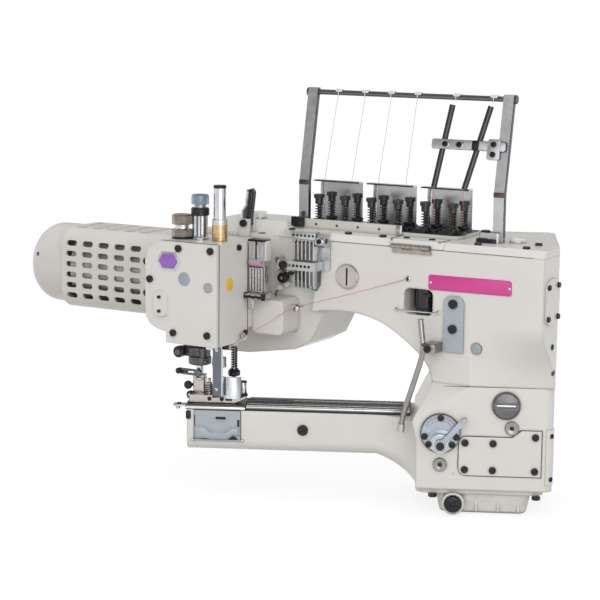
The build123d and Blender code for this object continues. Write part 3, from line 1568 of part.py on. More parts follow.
with BuildPart() as stand_rod:
    with BuildSketch(arm_side(stand_left_u - stand_width / 2 - rod_end)):
        with Locations((stand_head_v, rod_z)):
            Circle(rod_radius)
    extrude(amount=stand_right_u - stand_left_u + stand_width + 2 * rod_end)
stand_rod.part.label = "stand_rod"
export_step(stand_rod.part, "parts/stand_rod.step")

lean = stand_lean / (stand_head_z - stand_kink_z)
lean_plane = Plane(
    origin=arm_point(0, stand_foot_v - half_thickness, stand_kink_z), x_dir=arm_x, z_dir=up * lean - arm_y
)
stand_bracket_right_u = stand_right_u + 4
stand_bracket_left_u = stand_bracket_right_u - stand_bracket_length
with BuildPart() as stand_bracket:
    with BuildSketch(lean_plane):
        with Locations(((stand_bracket_left_u + stand_bracket_right_u) / 2, stand_bracket_rise)):
            RectangleRounded(stand_bracket_length, stand_bracket_height, 3)
    extrude(amount=stand_bracket_thickness)
    for top_offset, low_offset in tube_offsets:
        low_end = lean_plane.from_local_coords((stand_right_u - low_offset, tube_low_rise, -tube_radius))
        top_end = lean_plane.from_local_coords((stand_right_u - top_offset, tube_top_rise, -tube_radius))
        with BuildSketch(Plane(origin=low_end, z_dir=top_end - low_end)):
            Circle(tube_radius)
            Circle(tube_radius - tube_wall, mode=Mode.SUBTRACT)
        extrude(amount=(top_end - low_end).length)
stand_bracket.part.label = "stand_bracket"
export_step(stand_bracket.part, "parts/stand_bracket.step")

# Thread lubricating box in the corner of head and neck: clear box, slotted plates and guide strip
box_v = head_depth + panel_gap
strip_top = box_bottom - slotted_plate_height
with BuildPart() as thread_cooler:
    with BuildSketch(arm_level(box_bottom)):
        with Locations((box_width / 2, box_v + box_depth / 2)):
            RectangleRounded(box_width, box_depth, 1.5)
    extrude(amount=box_height)
    with BuildSketch(arm_level(strip_top)):
        with Locations((box_width / 2 - 0.5, box_v + box_depth / 2 - 1)):
            Rectangle(box_width - 3, box_depth - 5)
    extrude(amount=slotted_plate_height)
    with BuildSketch(arm_level(strip_top - strip_height)):
        with Locations((box_width / 2 + 1, box_v + box_depth - strip_depth / 2)):
            Rectangle(box_width + 2, strip_depth)
        with Locations((box_width / 2 + 1, box_v + box_depth - strip_depth + 4)):
            with GridLocations(strip_hole_pitch, 0, 4, 1):
                Circle(strip_hole_radius, mode=Mode.SUBTRACT)
    extrude(amount=strip_height)
thread_cooler.part.label = "thread_cooler"
export_step(thread_cooler.part, "parts/thread_cooler.step")

# Thread take-up: six steel levers clamped side by side on a rocking shaft
take_up_v = arm_front_v - take_up_reach
take_up_z = arm_top + 1
lever_tip_z = take_up_z - take_up_length
with BuildPart() as take_up_levers:
    with BuildSketch(arm_side(first_lever_u - 3)):
        with Locations((take_up_v, take_up_z)):
            Circle(take_up_radius)
    extrude(amount=(lever_count - 1) * lever_pitch + 12)
    for n in range(lever_count):
        with BuildSketch(arm_side(first_lever_u + n * lever_pitch - take_up_thickness / 2)):
            with Locations((take_up_v, take_up_z)):
                Circle(take_up_radius + 2)
            with BuildLine():
                Polyline(
                    (take_up_v - take_up_half_width, take_up_z),
                    (take_up_v - take_up_half_width + 1.1, lever_tip_z + 5),
                    (take_up_v - 1.5, lever_tip_z),
                    (take_up_v + 1.5, lever_tip_z),
                    (take_up_v + take_up_half_width - 1.1, lever_tip_z + 5),
                    (take_up_v + take_up_half_width, take_up_z),
                    close=True,
                )
            make_face()
            with Locations((take_up_v, lever_tip_z + 5)):
                Circle(take_up_eye_radius, mode=Mode.SUBTRACT)
        extrude(amount=take_up_thickness)
take_up_levers.part.label = "take_up_levers"
export_step(take_up_levers.part, "parts/take_up_levers.step")

# Bracket on the arm front: bearing of the take-up shaft and the drilled thread guide bar
last_lever_u = first_lever_u + (lever_count - 1) * lever_pitch
bearing_left_u = last_lever_u + take_up_thickness / 2 + running_gap + 2
guide_bar_v = take_up_v - guide_bar_reach
guide_bar_left_u = bearing_left_u - guide_bar_length
guide_bar_bottom = take_up_z - guide_bar_drop
with BuildPart() as guide_bracket:
    with BuildSketch(arm_side(bearing_left_u)):
        with Locations((take_up_v, take_up_z)):
            Circle(bearing_radius)
        with Locations(((take_up_v + arm_front_v) / 2, take_up_z - 4.5)):
            Rectangle(arm_front_v - take_up_v, 6)
    extrude(amount=bearing_length)
    with BuildSketch(arm_front(arm_front_v)):
        with Locations((bearing_left_u + bearing_length / 2, (take_up_z + guide_bar_bottom) / 2)):
            Rectangle(bearing_length, take_up_z - guide_bar_bottom)
    extrude(amount=2)
    with BuildSketch(arm_level(guide_bar_bottom)):
        with Locations((bearing_left_u + 1.5, (guide_bar_v + arm_front_v) / 2)):
            Rectangle(3, arm_front_v - guide_bar_v)
        with Locations(((guide_bar_left_u + bearing_left_u + 3) / 2, guide_bar_v + 1.5)):
            Rectangle(guide_bar_length + 3, 3)
    extrude(amount=guide_bar_height)
    with BuildSketch(arm_front(guide_bar_v)):
        with Locations(((first_lever_u + last_lever_u) / 2 - 4.5, guide_bar_bottom + guide_bar_height / 2)):
            with GridLocations(lever_pitch, 0, lever_count - 1, 1):
                Circle(guide_bar_hole_radius)
    extrude(amount=-3, mode=Mode.SUBTRACT)
    with BuildSketch(arm_side(bearing_left_u)):
        with Locations((take_up_v, take_up_z)):
            Circle(take_up_radius + shaft_gap)
    extrude(amount=bearing_length + 1, mode=Mode.SUBTRACT)
guide_bracket.part.label = "guide_bracket"
export_step(guide_bracket.part, "parts/guide_bracket.step")

# Presser lifting lever between two ears on the arm top
with BuildPart() as lifting_lever:
    with BuildSketch(arm_front(ear_v + ear_gap / 2 - running_gap)):
        with Locations((ear_u, ear_z)):
            Circle(lift_hub_radius)
        with BuildLine():
            Polyline(
                (ear_u - 5, ear_z),
                (ear_u - 6, ear_z + 14),
                (ear_u - 1, ear_z + 20),
                (ear_u + 1, ear_z + lift_length - 2),
                (ear_u + 7, ear_z + lift_length),
                (ear_u + 10, ear_z + lift_length - 4),
                (ear_u + 8, ear_z + 18),
                (ear_u + 5.4, ear_z),
                close=True,
            )
        make_face()
        with Locations((ear_u, ear_z)):
            Circle(lever_pin_radius + shaft_gap, mode=Mode.SUBTRACT)
    extrude(amount=ear_gap - 2 * running_gap)
lifting_lever.part.label = "lifting_lever"
export_step(lifting_lever.part, "parts/lifting_lever.step")

# Oil sight, buttons, plugs and filler caps, each seated on its casting
pan_front_y = -pan_width / 2 - drain_boss_length
filler_places = [(dome_filler_place, dome_top, 8.4, 8.0), (cover_filler_place, top_plane, 9.0, 6.0)]
with BuildPart() as plugs_and_caps:
    with BuildSketch(bed_front(-base_half_depth)):
        with Locations((sight_x, sight_z)):
            Circle(sight_radius)
    extrude(amount=sight_thickness)
    with BuildSketch(bed_front(-base_half_depth - sight_thickness)):
        with Locations((sight_x, sight_z)):
            Rectangle(2 * sight_radius - 8, 3)
    extrude(amount=-2, mode=Mode.SUBTRACT)
    with BuildSketch(bed_front(-base_half_depth)):
        with Locations(button_places):
            Circle(button_radius)
    extrude(amount=button_thickness)
    with BuildSketch(bed_front(-base_half_depth - button_thickness)):
        with Locations(button_places):
            Circle(button_radius - 1.6)
    extrude(amount=-1.6, taper=60, mode=Mode.SUBTRACT)
    with BuildSketch(bed_front(pan_front_y)):
        with Locations((drain_x, drain_z)):
            Circle(drain_plug_radius)
    extrude(amount=drain_plug_thickness)
    with BuildSketch(bed_front(pan_front_y - drain_plug_thickness)):
        with Locations((drain_x, drain_z)):
            Rectangle(2 * drain_plug_radius + 0.6, 1.8, rotation=-40)
    extrude(amount=-1.4, mode=Mode.SUBTRACT)
    with BuildSketch(arm_front(arm_front_v)):
        with Locations(arm_cap_place):
            Circle(arm_cap_radius)
    extrude(amount=arm_cap_thickness)
    with BuildSketch(arm_front(arm_front_v - arm_cap_thickness)):
        with Locations(arm_cap_place):
            Rectangle(2.4, 2 * arm_cap_radius - 7)
    extrude(amount=-1.4, mode=Mode.SUBTRACT)
    with BuildSketch(arm_front(arm_front_v + arm_plug_depth)):
        with Locations(arm_plug_place):
            Circle(arm_plug_radius)
    extrude(amount=arm_plug_depth + 0.4)
    for place, radius in head_plugs:
        with BuildSketch(arm_front(0)):
            with Locations(place):
                Circle(radius)
        extrude(amount=0.9)
    for place, seat, radius, height in filler_places:
        with BuildSketch(arm_level(seat)):
            with Locations(place):
                Circle(radius)
        extrude(amount=height)
plugs_and_caps.part.label = "plugs_and_caps"
export_step(plugs_and_caps.part, "parts/plugs_and_caps.step")

# Inspection cover on the column side
side_cover_v = side_turn_v - side_cover_setback
with BuildPart() as side_cover:
    with BuildSketch(arm_side(arm_right_u)):
        with Locations((side_cover_v, side_cover_z)):
            RectangleRounded(side_cover_width, side_cover_height, 14)
    extrude(amount=side_cover_thickness)
side_cover.part.label = "side_cover"
export_step(side_cover.part, "parts/side_cover.step")

# Curved-end bracket on the column front
with BuildPart() as arm_bracket:
    with BuildSketch(arm_front(arm_front_v)):
        with BuildLine():
            Polyline(
                (bracket_u, bracket_bottom + bracket_foot),
                (bracket_u, bracket_bottom + bracket_height),
                (bracket_u + bracket_width, bracket_bottom + bracket_height),
                (bracket_u + bracket_width, bracket_bottom),
                (bracket_u - 3, bracket_bottom),
                (bracket_u - 3, bracket_bottom + bracket_foot),
                close=True,
            )
        bracket_face = make_face()
        fillet(bracket_face.vertices().group_by(Axis.Y)[-1], 9)
        fillet(bracket_face.vertices().group_by(Axis.X)[-1].sort_by(Axis.Y)[0], 17)
    extrude(amount=bracket_thickness)
    bracket_front = arm_bracket.faces().sort_by_distance(arm_point(bracket_u + 12, 0, bracket_bottom + 33))[0]
    chamfer(bracket_front.edges(), 0.6)
arm_bracket.part.label = "arm_bracket"
export_step(arm_bracket.part, "parts/arm_bracket.step")

# Bent guide rod held by a clamp on the bracket
guide_rod_v = arm_front_v - rod_standoff
clamp_place = (bracket_u - 8.5, bracket_bottom + 5)
clamp_front_v = guide_rod_v - guide_rod_radius - 1.5
with BuildPart() as guide_rod:
    with BuildLine(arm_front(guide_rod_v)):
        rod_line = FilletPolyline(*rod_route, radius=rod_bends)
    with BuildSketch(Plane(origin=rod_line @ 0, z_dir=rod_line % 0)):
        Circle(guide_rod_radius)
    sweep()
    with BuildSketch(Plane(origin=rod_line @ 1, z_dir=(rod_line % 1) * -1)):
        Circle(guide_rod_radius + 1.6)
    extrude(amount=9)
    with BuildSketch(arm_front(arm_front_v - bracket_thickness)):
        with Locations(clamp_place):
            RectangleRounded(17, 11, 2)
    extrude(amount=arm_front_v - bracket_thickness - clamp_front_v)
guide_rod.part.label = "guide_rod"
export_step(guide_rod.part, "parts/guide_rod.step")

# Black slotted screws, grouped as they are all alike but for size
cover_face_y = -base_half_depth - cover_proud
dial_face_y = -base_half_depth - dial_thickness
cover_screw_xs = (cover_left + cover_inset, cover_left + 37.2, cover_right - cover_inset)
cover_screw_tops = (cover_top, cover_top, cover_top + cover_step)
cover_places = [(x, cover_bottom + cover_inset) for x in cover_screw_xs]
cover_places += [(x, top - cover_inset) for x, top in zip(cover_screw_xs, cover_screw_tops)]
dial_screw_ring = dial_radius - dial_screw_inset
dial_places = []
for angle in dial_screw_angles:
    dx = dial_screw_ring * math.cos(math.radians(angle))
    dz = dial_screw_ring * math.sin(math.radians(angle))
    dial_places.append((dial_x + dx, dial_z + dz))
side_screw_u = side_cover_width / 2 - 5
side_screw_z = side_cover_height / 2 - 8
side_places = []
for across, rise in ((-1, -1), (-1, 1), (1, -1), (1, 1)):
    side_places.append((side_cover_v + across * side_screw_u, side_cover_z + rise * side_screw_z))
motor_front_v = motor_axis_v - motor_side / 2
motor_places = [(motor_screw_u, motor_axis_z + dz) for dz in (-19, 19)]
screw_sets = [
    (bed_front(cover_face_y), 3.9, cover_places),
    (bed_front(dial_face_y), 3.6, dial_places),
    (bed_front(-bed_half_width), 6.0, [bed_screw_place]),
    (arm_front(0), screw_radius, face_screw_places),
    (arm_front(-pad_height), 1.8, [(pad_u, pad_z - 8), (pad_u, pad_z + 8)]),
    (arm_front(motor_front_v), screw_radius, motor_places),
    (arm_side(0), 3.4, head_side_places),
    (arm_front(arm_front_v - bracket_thickness), 5.0, bracket_screw_places),
    (arm_front(clamp_front_v), screw_radius, [clamp_place]),
    (arm_front(guide_bar_v), 5.0, [(guide_bar_left_u + 8, guide_bar_bottom + guide_bar_height / 2)]),
    (arm_side(arm_right_u + side_cover_thickness), 3.0, side_places),
    (arm_level(top_plane), screw_radius, top_screw_places),
]
with BuildPart() as cover_screws:
    for plane, radius, places in screw_sets:
        with BuildSketch(plane):
            with Locations(places):
                Circle(radius)
        extrude(amount=screw_height)
        with BuildSketch(plane.offset(screw_height)):
            with Locations(places):
                Rectangle(2 * radius, 0.3 * radius, rotation=30)
        extrude(amount=-0.4 * screw_height, mode=Mode.SUBTRACT)
    # shoulder screw that carries the feed lever
    with BuildSketch(bed_front(dial_face_y)):
        with Locations((dial_x, lever_z)):
            Circle(lever_pin_radius)
    extrude(amount=lever_back + lever_thickness + running_gap - base_half_depth - dial_thickness)
    with BuildSketch(bed_front(-lever_back - lever_thickness - running_gap)):
        with Locations((dial_x, lever_z)):
            Circle(lever_pin_radius + 1.9)
    extrude(amount=screw_height)
    # pin of the lifting lever through its two ears
    with BuildSketch(arm_front(ear_v + ear_gap / 2 + ear_thickness)):
        with Locations((ear_u, ear_z)):
            Circle(lever_pin_radius)
    extrude(amount=ear_gap + 2 * ear_thickness)
    with BuildSketch(arm_front(ear_v - ear_gap / 2 - ear_thickness)):
        with Locations((ear_u, ear_z)):
            Circle(lever_pin_radius + 1.7)
    extrude(amount=3)
cover_screws.part.label = "cover_screws"
export_step(cover_screws.part, "parts/cover_screws.step")
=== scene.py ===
import json
import math

import bmesh
import bpy
from mathutils import Matrix, Vector


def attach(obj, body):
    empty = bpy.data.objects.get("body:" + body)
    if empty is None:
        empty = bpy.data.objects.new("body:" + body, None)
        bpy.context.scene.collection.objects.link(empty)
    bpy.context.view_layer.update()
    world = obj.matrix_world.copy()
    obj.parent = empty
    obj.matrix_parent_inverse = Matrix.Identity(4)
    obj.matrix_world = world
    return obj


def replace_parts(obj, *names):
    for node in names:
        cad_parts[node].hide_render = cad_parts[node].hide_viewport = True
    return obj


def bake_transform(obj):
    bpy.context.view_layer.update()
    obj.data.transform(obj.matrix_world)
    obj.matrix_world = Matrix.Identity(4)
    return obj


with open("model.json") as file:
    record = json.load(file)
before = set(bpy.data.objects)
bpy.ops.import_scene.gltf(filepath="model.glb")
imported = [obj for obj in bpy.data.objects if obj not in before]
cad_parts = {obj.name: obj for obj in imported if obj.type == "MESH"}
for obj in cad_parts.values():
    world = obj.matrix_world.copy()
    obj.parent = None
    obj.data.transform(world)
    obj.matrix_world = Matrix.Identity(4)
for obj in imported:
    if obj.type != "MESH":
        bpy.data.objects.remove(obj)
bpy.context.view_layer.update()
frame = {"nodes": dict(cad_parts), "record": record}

# Sizes below are in millimetres, as on the drawing. Blender works in metres.
MM = 0.001
HEAD = "machine_head"
SLOT_SHARE = 0.2  # half the width of a driver slot against the radius of its screw head
WELD = 1e-7  # metres
CAD_SHARP, DETAIL_SHARP = 28, 32  # degrees from which an edge stays sharp

# The arm, head, motor and thread stand are turned in plan, and are placed in arm axes:
# u along the arm towards the column, v to the back, z up.
ARM_TURN = math.radians(25)
HEAD_CORNER = Vector((-291.6, -46, 0))
ARM_X = Vector((math.cos(ARM_TURN), -math.sin(ARM_TURN), 0))
ARM_Y = Vector((math.sin(ARM_TURN), math.cos(ARM_TURN), 0))
UP = Vector((0, 0, 1))
BED_X = Vector((1, 0, 0))
BED_Y = Vector((0, 1, 0))


def arm(u, v, z):
    """A point given in arm axes, as a point of the whole machine, in millimetres."""
    return HEAD_CORNER + ARM_X * u + ARM_Y * v + UP * z


def seat(origin, x_dir, y_dir):
    """A local frame in millimetres: what stands on it rises along x_dir cross y_dir."""
    x_dir, y_dir = x_dir.normalized(), y_dir.normalized()
    z_dir = x_dir.cross(y_dir)
    rows = [[x_dir[i], y_dir[i], z_dir[i], origin[i]] for i in range(3)]
    return Matrix(rows + [[0, 0, 0, 1]])


def on_front(u, z, v):
    """Seat on an upright face of the arm that looks to the viewer."""
    return seat(arm(u, v, z), ARM_X, UP)


def on_side(v, z, u):
    """Seat on an upright face that looks along the arm to the column."""
    return seat(arm(u, v, z), ARM_Y, UP)


def on_top(u, v, z):
    """Seat on a level face of the arm."""
    return seat(arm(u, v, z), ARM_X, ARM_Y)


def on_bed(x, z, y):
    """Seat on an upright face of the bed or base that looks to the viewer."""
    return seat(Vector((x, y, z)), BED_X, UP)


def on_plate(x, y, z):
    """Seat on a level face of the bed."""
    return seat(Vector((x, y, z)), BED_X, BED_Y)


def polar(radius, angle):
    """A point given by its radius and an angle in radians."""
    return radius * math.cos(angle), radius * math.sin(angle)


def circle(radius, count):
    return [polar(radius, 2 * math.pi * n / count) for n in range(count)]


def rounded(width, height, radius, center=(0, 0), count=5):
    """Outline of a rectangle with round corners."""
    points = []
    for turn, (sx, sy) in enumerate(((1, 1), (-1, 1), (-1, -1), (1, -1))):
        cx = center[0] + sx * (width / 2 - radius)
        cy = center[1] + sy * (height / 2 - radius)
        for n in range(count + 1):
            x, y = polar(radius, math.pi / 2 * (turn + n / count))
            points.append((cx + x, cy + y))
    return points


def gear(outer, inner, teeth):
    """Outline of a knurled rim."""
    tooth = ((0.0, inner), (0.25, outer), (0.55, outer), (0.8, inner))
    return [polar(radius, 2 * math.pi * (n + share) / teeth)
            for n in range(teeth) for share, radius in tooth]


def arc_band(outer, inner, start, end, count):
    """Outline of a band bent round its seat's axis, from a start to an end angle in degrees."""
    angles = [math.radians(start + (end - start) * n / count) for n in range(count + 1)]
    return [polar(outer, a) for a in angles] + [polar(inner, a) for a in reversed(angles)]


def hexagon(width, height):
    return [(width / 2, 0), (0.29 * width, height / 2), (-0.29 * width, height / 2),
            (-width / 2, 0), (-0.29 * width, -height / 2), (0.29 * width, -height / 2)]


def smooth_line(points, steps=6):
    """Points along a smooth curve through the given points."""
    points = [Vector(p) for p in points]
    ends = [points[0] * 2 - points[1]] + points + [points[-1] * 2 - points[-2]]
    line = []
    for n in range(1, len(ends) - 2):
        a, b, c, d = ends[n - 1:n + 3]
        for k in range(steps):
            t = k / steps
            line.append(0.5 * (2 * b + (c - a) * t + (2 * a - 5 * b + 4 * c - d) * t ** 2
                               + (3 * b - a - 3 * c + d) * t ** 3))
    return line + [points[-1]]


# The functions below add solids, given in millimetres, to the drawing in hand.
# done() makes one piece of it and clears it for the next.

drawing = bmesh.new()


def skin(rings):
    """Verts for rings of points, with faces from each ring to the next and over both ends."""
    rings = [[drawing.verts.new(p * MM) for p in ring] for ring in rings]
    count = max(len(ring) for ring in rings)
    for low, high in zip(rings, rings[1:]):
        for n in range(count):
            m = (n + 1) % count
            quad = [low[n % len(low)], low[m % len(low)], high[m % len(high)], high[n % len(high)]]
            corners = list(dict.fromkeys(quad))
            if len(corners) > 2:
                drawing.faces.new(corners)
    if len(rings[0]) > 1:
        drawing.faces.new(rings[0][::-1])
    if len(rings[-1]) > 1:
        drawing.faces.new(rings[-1])


def prism(place, outline, depth, edge, start=0.0):
    """Outline raised from start to depth, with its far rim rounded off by edge."""
    levels = [(start, 0.0), (depth - edge, 0.0)]
    if edge:
        levels += [(depth - 0.3 * edge, 0.3 * edge), (depth, edge)]
    corners = [Vector(p) for p in outline]
    rings = []
    for height, inset in levels:
        ring = []
        for n, p in enumerate(corners):
            along = (corners[(n + 1) % len(corners)] - corners[n - 1]).normalized()
            q = p + Vector((-along.y, along.x)) * inset if inset else p
            ring.append(place @ Vector((q.x, q.y, height)))
        rings.append(ring)
    skin(rings)


def slab(place, width, height, corner, *depths):
    """Rectangle with round corners, raised like a prism."""
    prism(place, rounded(width, height, corner), *depths)


def lathe(place, profile, count):
    """Profile of (radius, height) turned about the seat's upright axis."""
    skin([[place @ Vector((x, y, height)) for x, y in (circle(radius, count) if radius else [(0, 0)])]
          for radius, height in profile])


def tube(points, radius, count):
    """Round bar along a line of points."""
    side = (points[1] - points[0]).normalized().orthogonal().normalized()
    rings = []
    for n, p in enumerate(points):
        along = (points[min(n + 1, len(points) - 1)] - points[max(n - 1, 0)]).normalized()
        side = (side - along * side.dot(along)).normalized()
        other = along.cross(side)
        rings.append([p + side * x + other * y for x, y in circle(radius, count)])
    skin(rings)


def disc(place, radius, height, count):
    """Plain round plate, such as a hole's dark floor."""
    lathe(place, [(radius, 0), (radius, height), (0, height)], count)


def helix(place, radius, wire, turns, height, per_turn, low, count):
    """Wire coil that rises along the seat's upright axis."""
    total = int(turns * per_turn)
    line = []
    for n in range(total + 1):
        x, y = polar(radius, 2 * math.pi * n / per_turn)
        line.append(place @ Vector((x, y, low + height * n / total)))
    tube(line, wire, count)


def slotted(place, radius, height, turn=30):
    """Round screw head with a driver slot cut across its face, turned by some degrees."""
    lathe(place, [(radius, 0), (radius, 0.55 * height)], 24)
    reach = math.asin(SLOT_SHARE)
    for side in (0, math.pi):
        angles = [reach + (math.pi - 2 * reach) * n / 12 + side + math.radians(turn) for n in range(13)]
        prism(place, [polar(radius, a) for a in angles], height, 0.12 * radius, 0.5 * height)


def socket_screw(place, radius, height):
    """Round screw head with a dished top and a socket."""
    profile = [(radius, 0), (radius, 0.8 * height), (0.86 * radius, height), (0.52 * radius, height)]
    lathe(place, profile + [(0.44 * radius, 0.45 * height), (0, 0.45 * height)], 24)


def seam(place, outline, radius):
    """Thin dark joint line that lies half sunk in a face."""
    tube([place @ Vector((x, y, 0)) for x, y in outline], radius, 6)


def shade_smooth(data, sharp):
    """Smooth shading with edges kept sharp from an angle in degrees."""
    data.polygons.foreach_set("use_smooth", [True] * len(data.polygons))
    data.set_sharp_from_angle(angle=math.radians(sharp))


def done(name, look, body=HEAD, slot="usual"):
    """Ends a piece: its look and the body that it rides. The slot of the record that it stands in is looked
    up but not kept.
    """
    bmesh.ops.remove_doubles(drawing, verts=drawing.verts, dist=WELD)
    bmesh.ops.recalc_face_normals(drawing, faces=drawing.faces)
    data = bpy.data.meshes.new(name)
    drawing.to_mesh(data)
    drawing.clear()
    shade_smooth(data, DETAIL_SHARP)
    data.materials.append(look)
    obj = bpy.data.objects.new(name, data)
    bpy.context.scene.collection.objects.link(obj)
    if body:
        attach(obj, body)
    if slot == "usual":
        slot = usual_slots.get(look.name)
    return obj


# Materials

def map_range(tree, source, *ends):
    """Carries the span between the first two values over to that between the last two."""
    made = tree.nodes.new("ShaderNodeMapRange")
    for key, value in zip(("From Min", "From Max", "To Min", "To Max"), ends):
        made.inputs[key].default_value = value
    tree.links.new(source, made.inputs["Value"])
    return made


def combine(tree, operation, *sources):
    """A Math node fed with numbers and with other nodes' outputs."""
    made = tree.nodes.new("ShaderNodeMath")
    made.operation = operation
    for n, source in enumerate(sources):
        if isinstance(source, float):
            made.inputs[n].default_value = source
        else:
            tree.links.new(source, made.inputs[n])
    return made.outputs[0]


class Look:
    """One procedural material: a few helpers round a Principled shader."""

    def __init__(self, name, color, rough, metal=0.0, **inputs):
        self.material = bpy.data.materials.new(name)
        self.material.use_nodes = True
        self.tree = self.material.node_tree
        self.shader = self.tree.nodes["Principled BSDF"]
        self.place = self.node("ShaderNodeTexCoord").outputs["Object"]
        self.shader.inputs["Base Color"].default_value = (*color, 1)
        self.shader.inputs["Roughness"].default_value = rough
        self.shader.inputs["Metallic"].default_value = metal
        for key, value in inputs.items():
            self.shader.inputs[key.replace("_", " ")].default_value = value
        base = self.node("ShaderNodeRGB")
        base.outputs[0].default_value = (*color, 1)
        self.color = base.outputs[0]
        self.bump = None

    def node(self, kind, **values):
        made = self.tree.nodes.new(kind)
        for key, value in values.items():
            setattr(made, key, value)
        return made

    def link(self, a, b):
        self.tree.links.new(a, b)

    def noise(self, scale, detail, stretch=(1, 1, 1), turn=(0, 0, 0)):
        mapping = self.node("ShaderNodeMapping")
        mapping.inputs["Scale"].default_value = stretch
        mapping.inputs["Rotation"].default_value = turn
        self.link(self.place, mapping.inputs["Vector"])
        made = self.node("ShaderNodeTexNoise")
        made.inputs["Scale"].default_value = scale
        made.inputs["Detail"].default_value = detail
        self.link(mapping.outputs[0], made.inputs["Vector"])
        return made.outputs["Fac"]

    def span(self, source, *ends):
        return map_range(self.tree, source, *ends).outputs[0]

    def mix_color(self, factor, color):
        """Blends another colour over the base by a factor."""
        made = self.node("ShaderNodeMix", data_type="RGBA")
        self.link(factor, made.inputs["Factor"])
        self.link(self.color, made.inputs["A"])
        made.inputs["B"].default_value = (*color, 1)
        self.color = made.outputs["Result"]
        self.link(self.color, self.shader.inputs["Base Color"])
        return self

    def mottle(self, scale, color, amount, detail=4.0, low=0.4, high=0.7):
        """Cloudy variation towards another colour."""
        return self.mix_color(self.span(self.noise(scale, detail), low, high, 0, amount), color)

    def rough_noise(self, scale, low, high, stretch=(1, 1, 1)):
        self.link(self.span(self.noise(scale, 4.0, stretch), 0.35, 0.65, low, high),
                  self.shader.inputs["Roughness"])
        return self

    def relief(self, scale, strength, depth=0.0002, stretch=(1, 1, 1), detail=2.0, turn=(0, 0, 0)):
        """Fine bumps from noise."""
        made = self.node("ShaderNodeBump")
        made.inputs["Strength"].default_value = strength
        made.inputs["Distance"].default_value = depth
        self.link(self.noise(scale, detail, stretch, turn), made.inputs["Height"])
        if self.bump is not None:
            self.link(self.bump, made.inputs["Normal"])
        self.bump = made.outputs["Normal"]
        self.link(self.bump, self.shader.inputs["Normal"])
        return self

    def round_edges(self, radius):
        """Edges catch the light as if broken by a small radius."""
        made = self.node("ShaderNodeBevel")
        made.samples = 6
        made.inputs["Radius"].default_value = radius
        self.bump = made.outputs["Normal"]
        self.link(self.bump, self.shader.inputs["Normal"])
        return self

    def painted_corner_shade(self, color, amount, distance=0.006):
        """Painted shade: the colour darkened in corners and joints by ambient occlusion."""
        made = self.node("ShaderNodeAmbientOcclusion")
        made.samples = 6
        made.inputs["Distance"].default_value = distance
        return self.mix_color(self.span(made.outputs["AO"], 0.25, 0.85, amount, 0), color)


def enamel(name, color, shade, rough=0.36, edge=0.0012):
    look = Look(name, color, rough, Coat_Weight=0.35, Coat_Roughness=0.18, Specular_IOR_Level=0.45)
    look.round_edges(edge)
    look.relief(900, 0.10, 0.00025).relief(45, 0.06, 0.0012, detail=1.0)
    look.mottle(14, shade, 0.35, 5.0).mottle(160, shade, 0.15)
    # painted shade darkening the enamel in its corners
    look.painted_corner_shade((0.16, 0.14, 0.12), 0.55)
    look.rough_noise(70, rough - 0.07, rough + 0.08)
    return look.material


def bright_metal(name, color, low, high, stretch=(1, 1, 1), strength=0.25, edge=0.0004):
    look = Look(name, color, (low + high) / 2, 1.0)
    look.round_edges(edge)
    look.relief(700, strength, 0.00015, stretch)
    look.mottle(60, tuple(c * 0.74 for c in color), 0.5, 5.0)
    # painted shade darkening the metal in its corners
    look.painted_corner_shade((0.03, 0.03, 0.035), 0.6, 0.003)
    look.rough_noise(220, low, high, stretch)
    return look.material


def black_finish(name, color, rough, metal, speck=0.25):
    look = Look(name, color, rough, metal)
    look.round_edges(0.0003)
    look.relief(1200, 0.2, 0.0001)
    look.mottle(240, tuple(min(1, c * 3 + 0.05) for c in color), speck, 5.0, 0.5, 0.75)
    look.rough_noise(300, rough - 0.08, rough + 0.12)
    return look.material


WARM_WHITE = (0.70, 0.683, 0.650)
WARM_SHADE = (0.64, 0.62, 0.585)
body_paint = enamel("body_enamel", WARM_WHITE, WARM_SHADE)
cast_paint = enamel("cast_enamel", WARM_WHITE, WARM_SHADE, edge=0.0038)
motor_paint = enamel("motor_enamel", (0.665, 0.645, 0.61), (0.59, 0.57, 0.53), 0.42, 0.0007)
wheel_shell = enamel("wheel_moulding", (0.64, 0.615, 0.59), (0.58, 0.555, 0.53), 0.34, 0.0008)
blue_grey = enamel("blue_grey_enamel", (0.39, 0.435, 0.475), (0.30, 0.345, 0.385), 0.34, 0.0005)
# cast aluminium, with painted shade darkening its corners
cast_aluminium = (Look("cast_aluminium", (0.72, 0.70, 0.67), 0.5, 0.1).round_edges(0.0008)
                  .relief(420, 0.3, 0.0004).mottle(90, (0.60, 0.58, 0.55), 0.6)
                  .painted_corner_shade((0.06, 0.05, 0.05), 0.7).material)
aluminium = bright_metal("satin_aluminium", (0.72, 0.72, 0.72), 0.26, 0.42, (1, 1, 12))
ground_steel = bright_metal("ground_steel", (0.58, 0.57, 0.55), 0.24, 0.4, (14, 1, 1))
bright_steel = bright_metal("bright_steel", (0.58, 0.58, 0.58), 0.16, 0.3, (1, 10, 1), 0.12)
chrome = bright_metal("chrome", (0.64, 0.65, 0.67), 0.05, 0.13, strength=0.05)
dark_steel = black_finish("dark_steel", (0.10, 0.10, 0.11), 0.3, 0.9)
black_metal = black_finish("black_metal", (0.012, 0.012, 0.014), 0.3, 0.35)
black_plastic = black_finish("black_plastic", (0.010, 0.010, 0.011), 0.28, 0.0)
brass = bright_metal("turned_brass", (0.62, 0.42, 0.24), 0.16, 0.26, strength=0.04)
stator_core = (Look("stator_core", (0.42, 0.39, 0.34), 0.5, 0.3)
               .relief(500, 0.4, 0.0003, (30, 1, 1), turn=(0, 0, -ARM_TURN))
               .mottle(50, (0.20, 0.18, 0.16), 0.6).material)
grey_plug = enamel("grey_plug", (0.33, 0.37, 0.40), (0.26, 0.29, 0.32), 0.3, 0.0004)
milky = (Look("milky_plastic", (0.72, 0.73, 0.74), 0.2, Transmission_Weight=0.45, IOR=1.45)
         .relief(300, 0.05).mottle(40, (0.6, 0.62, 0.64), 0.4).material)
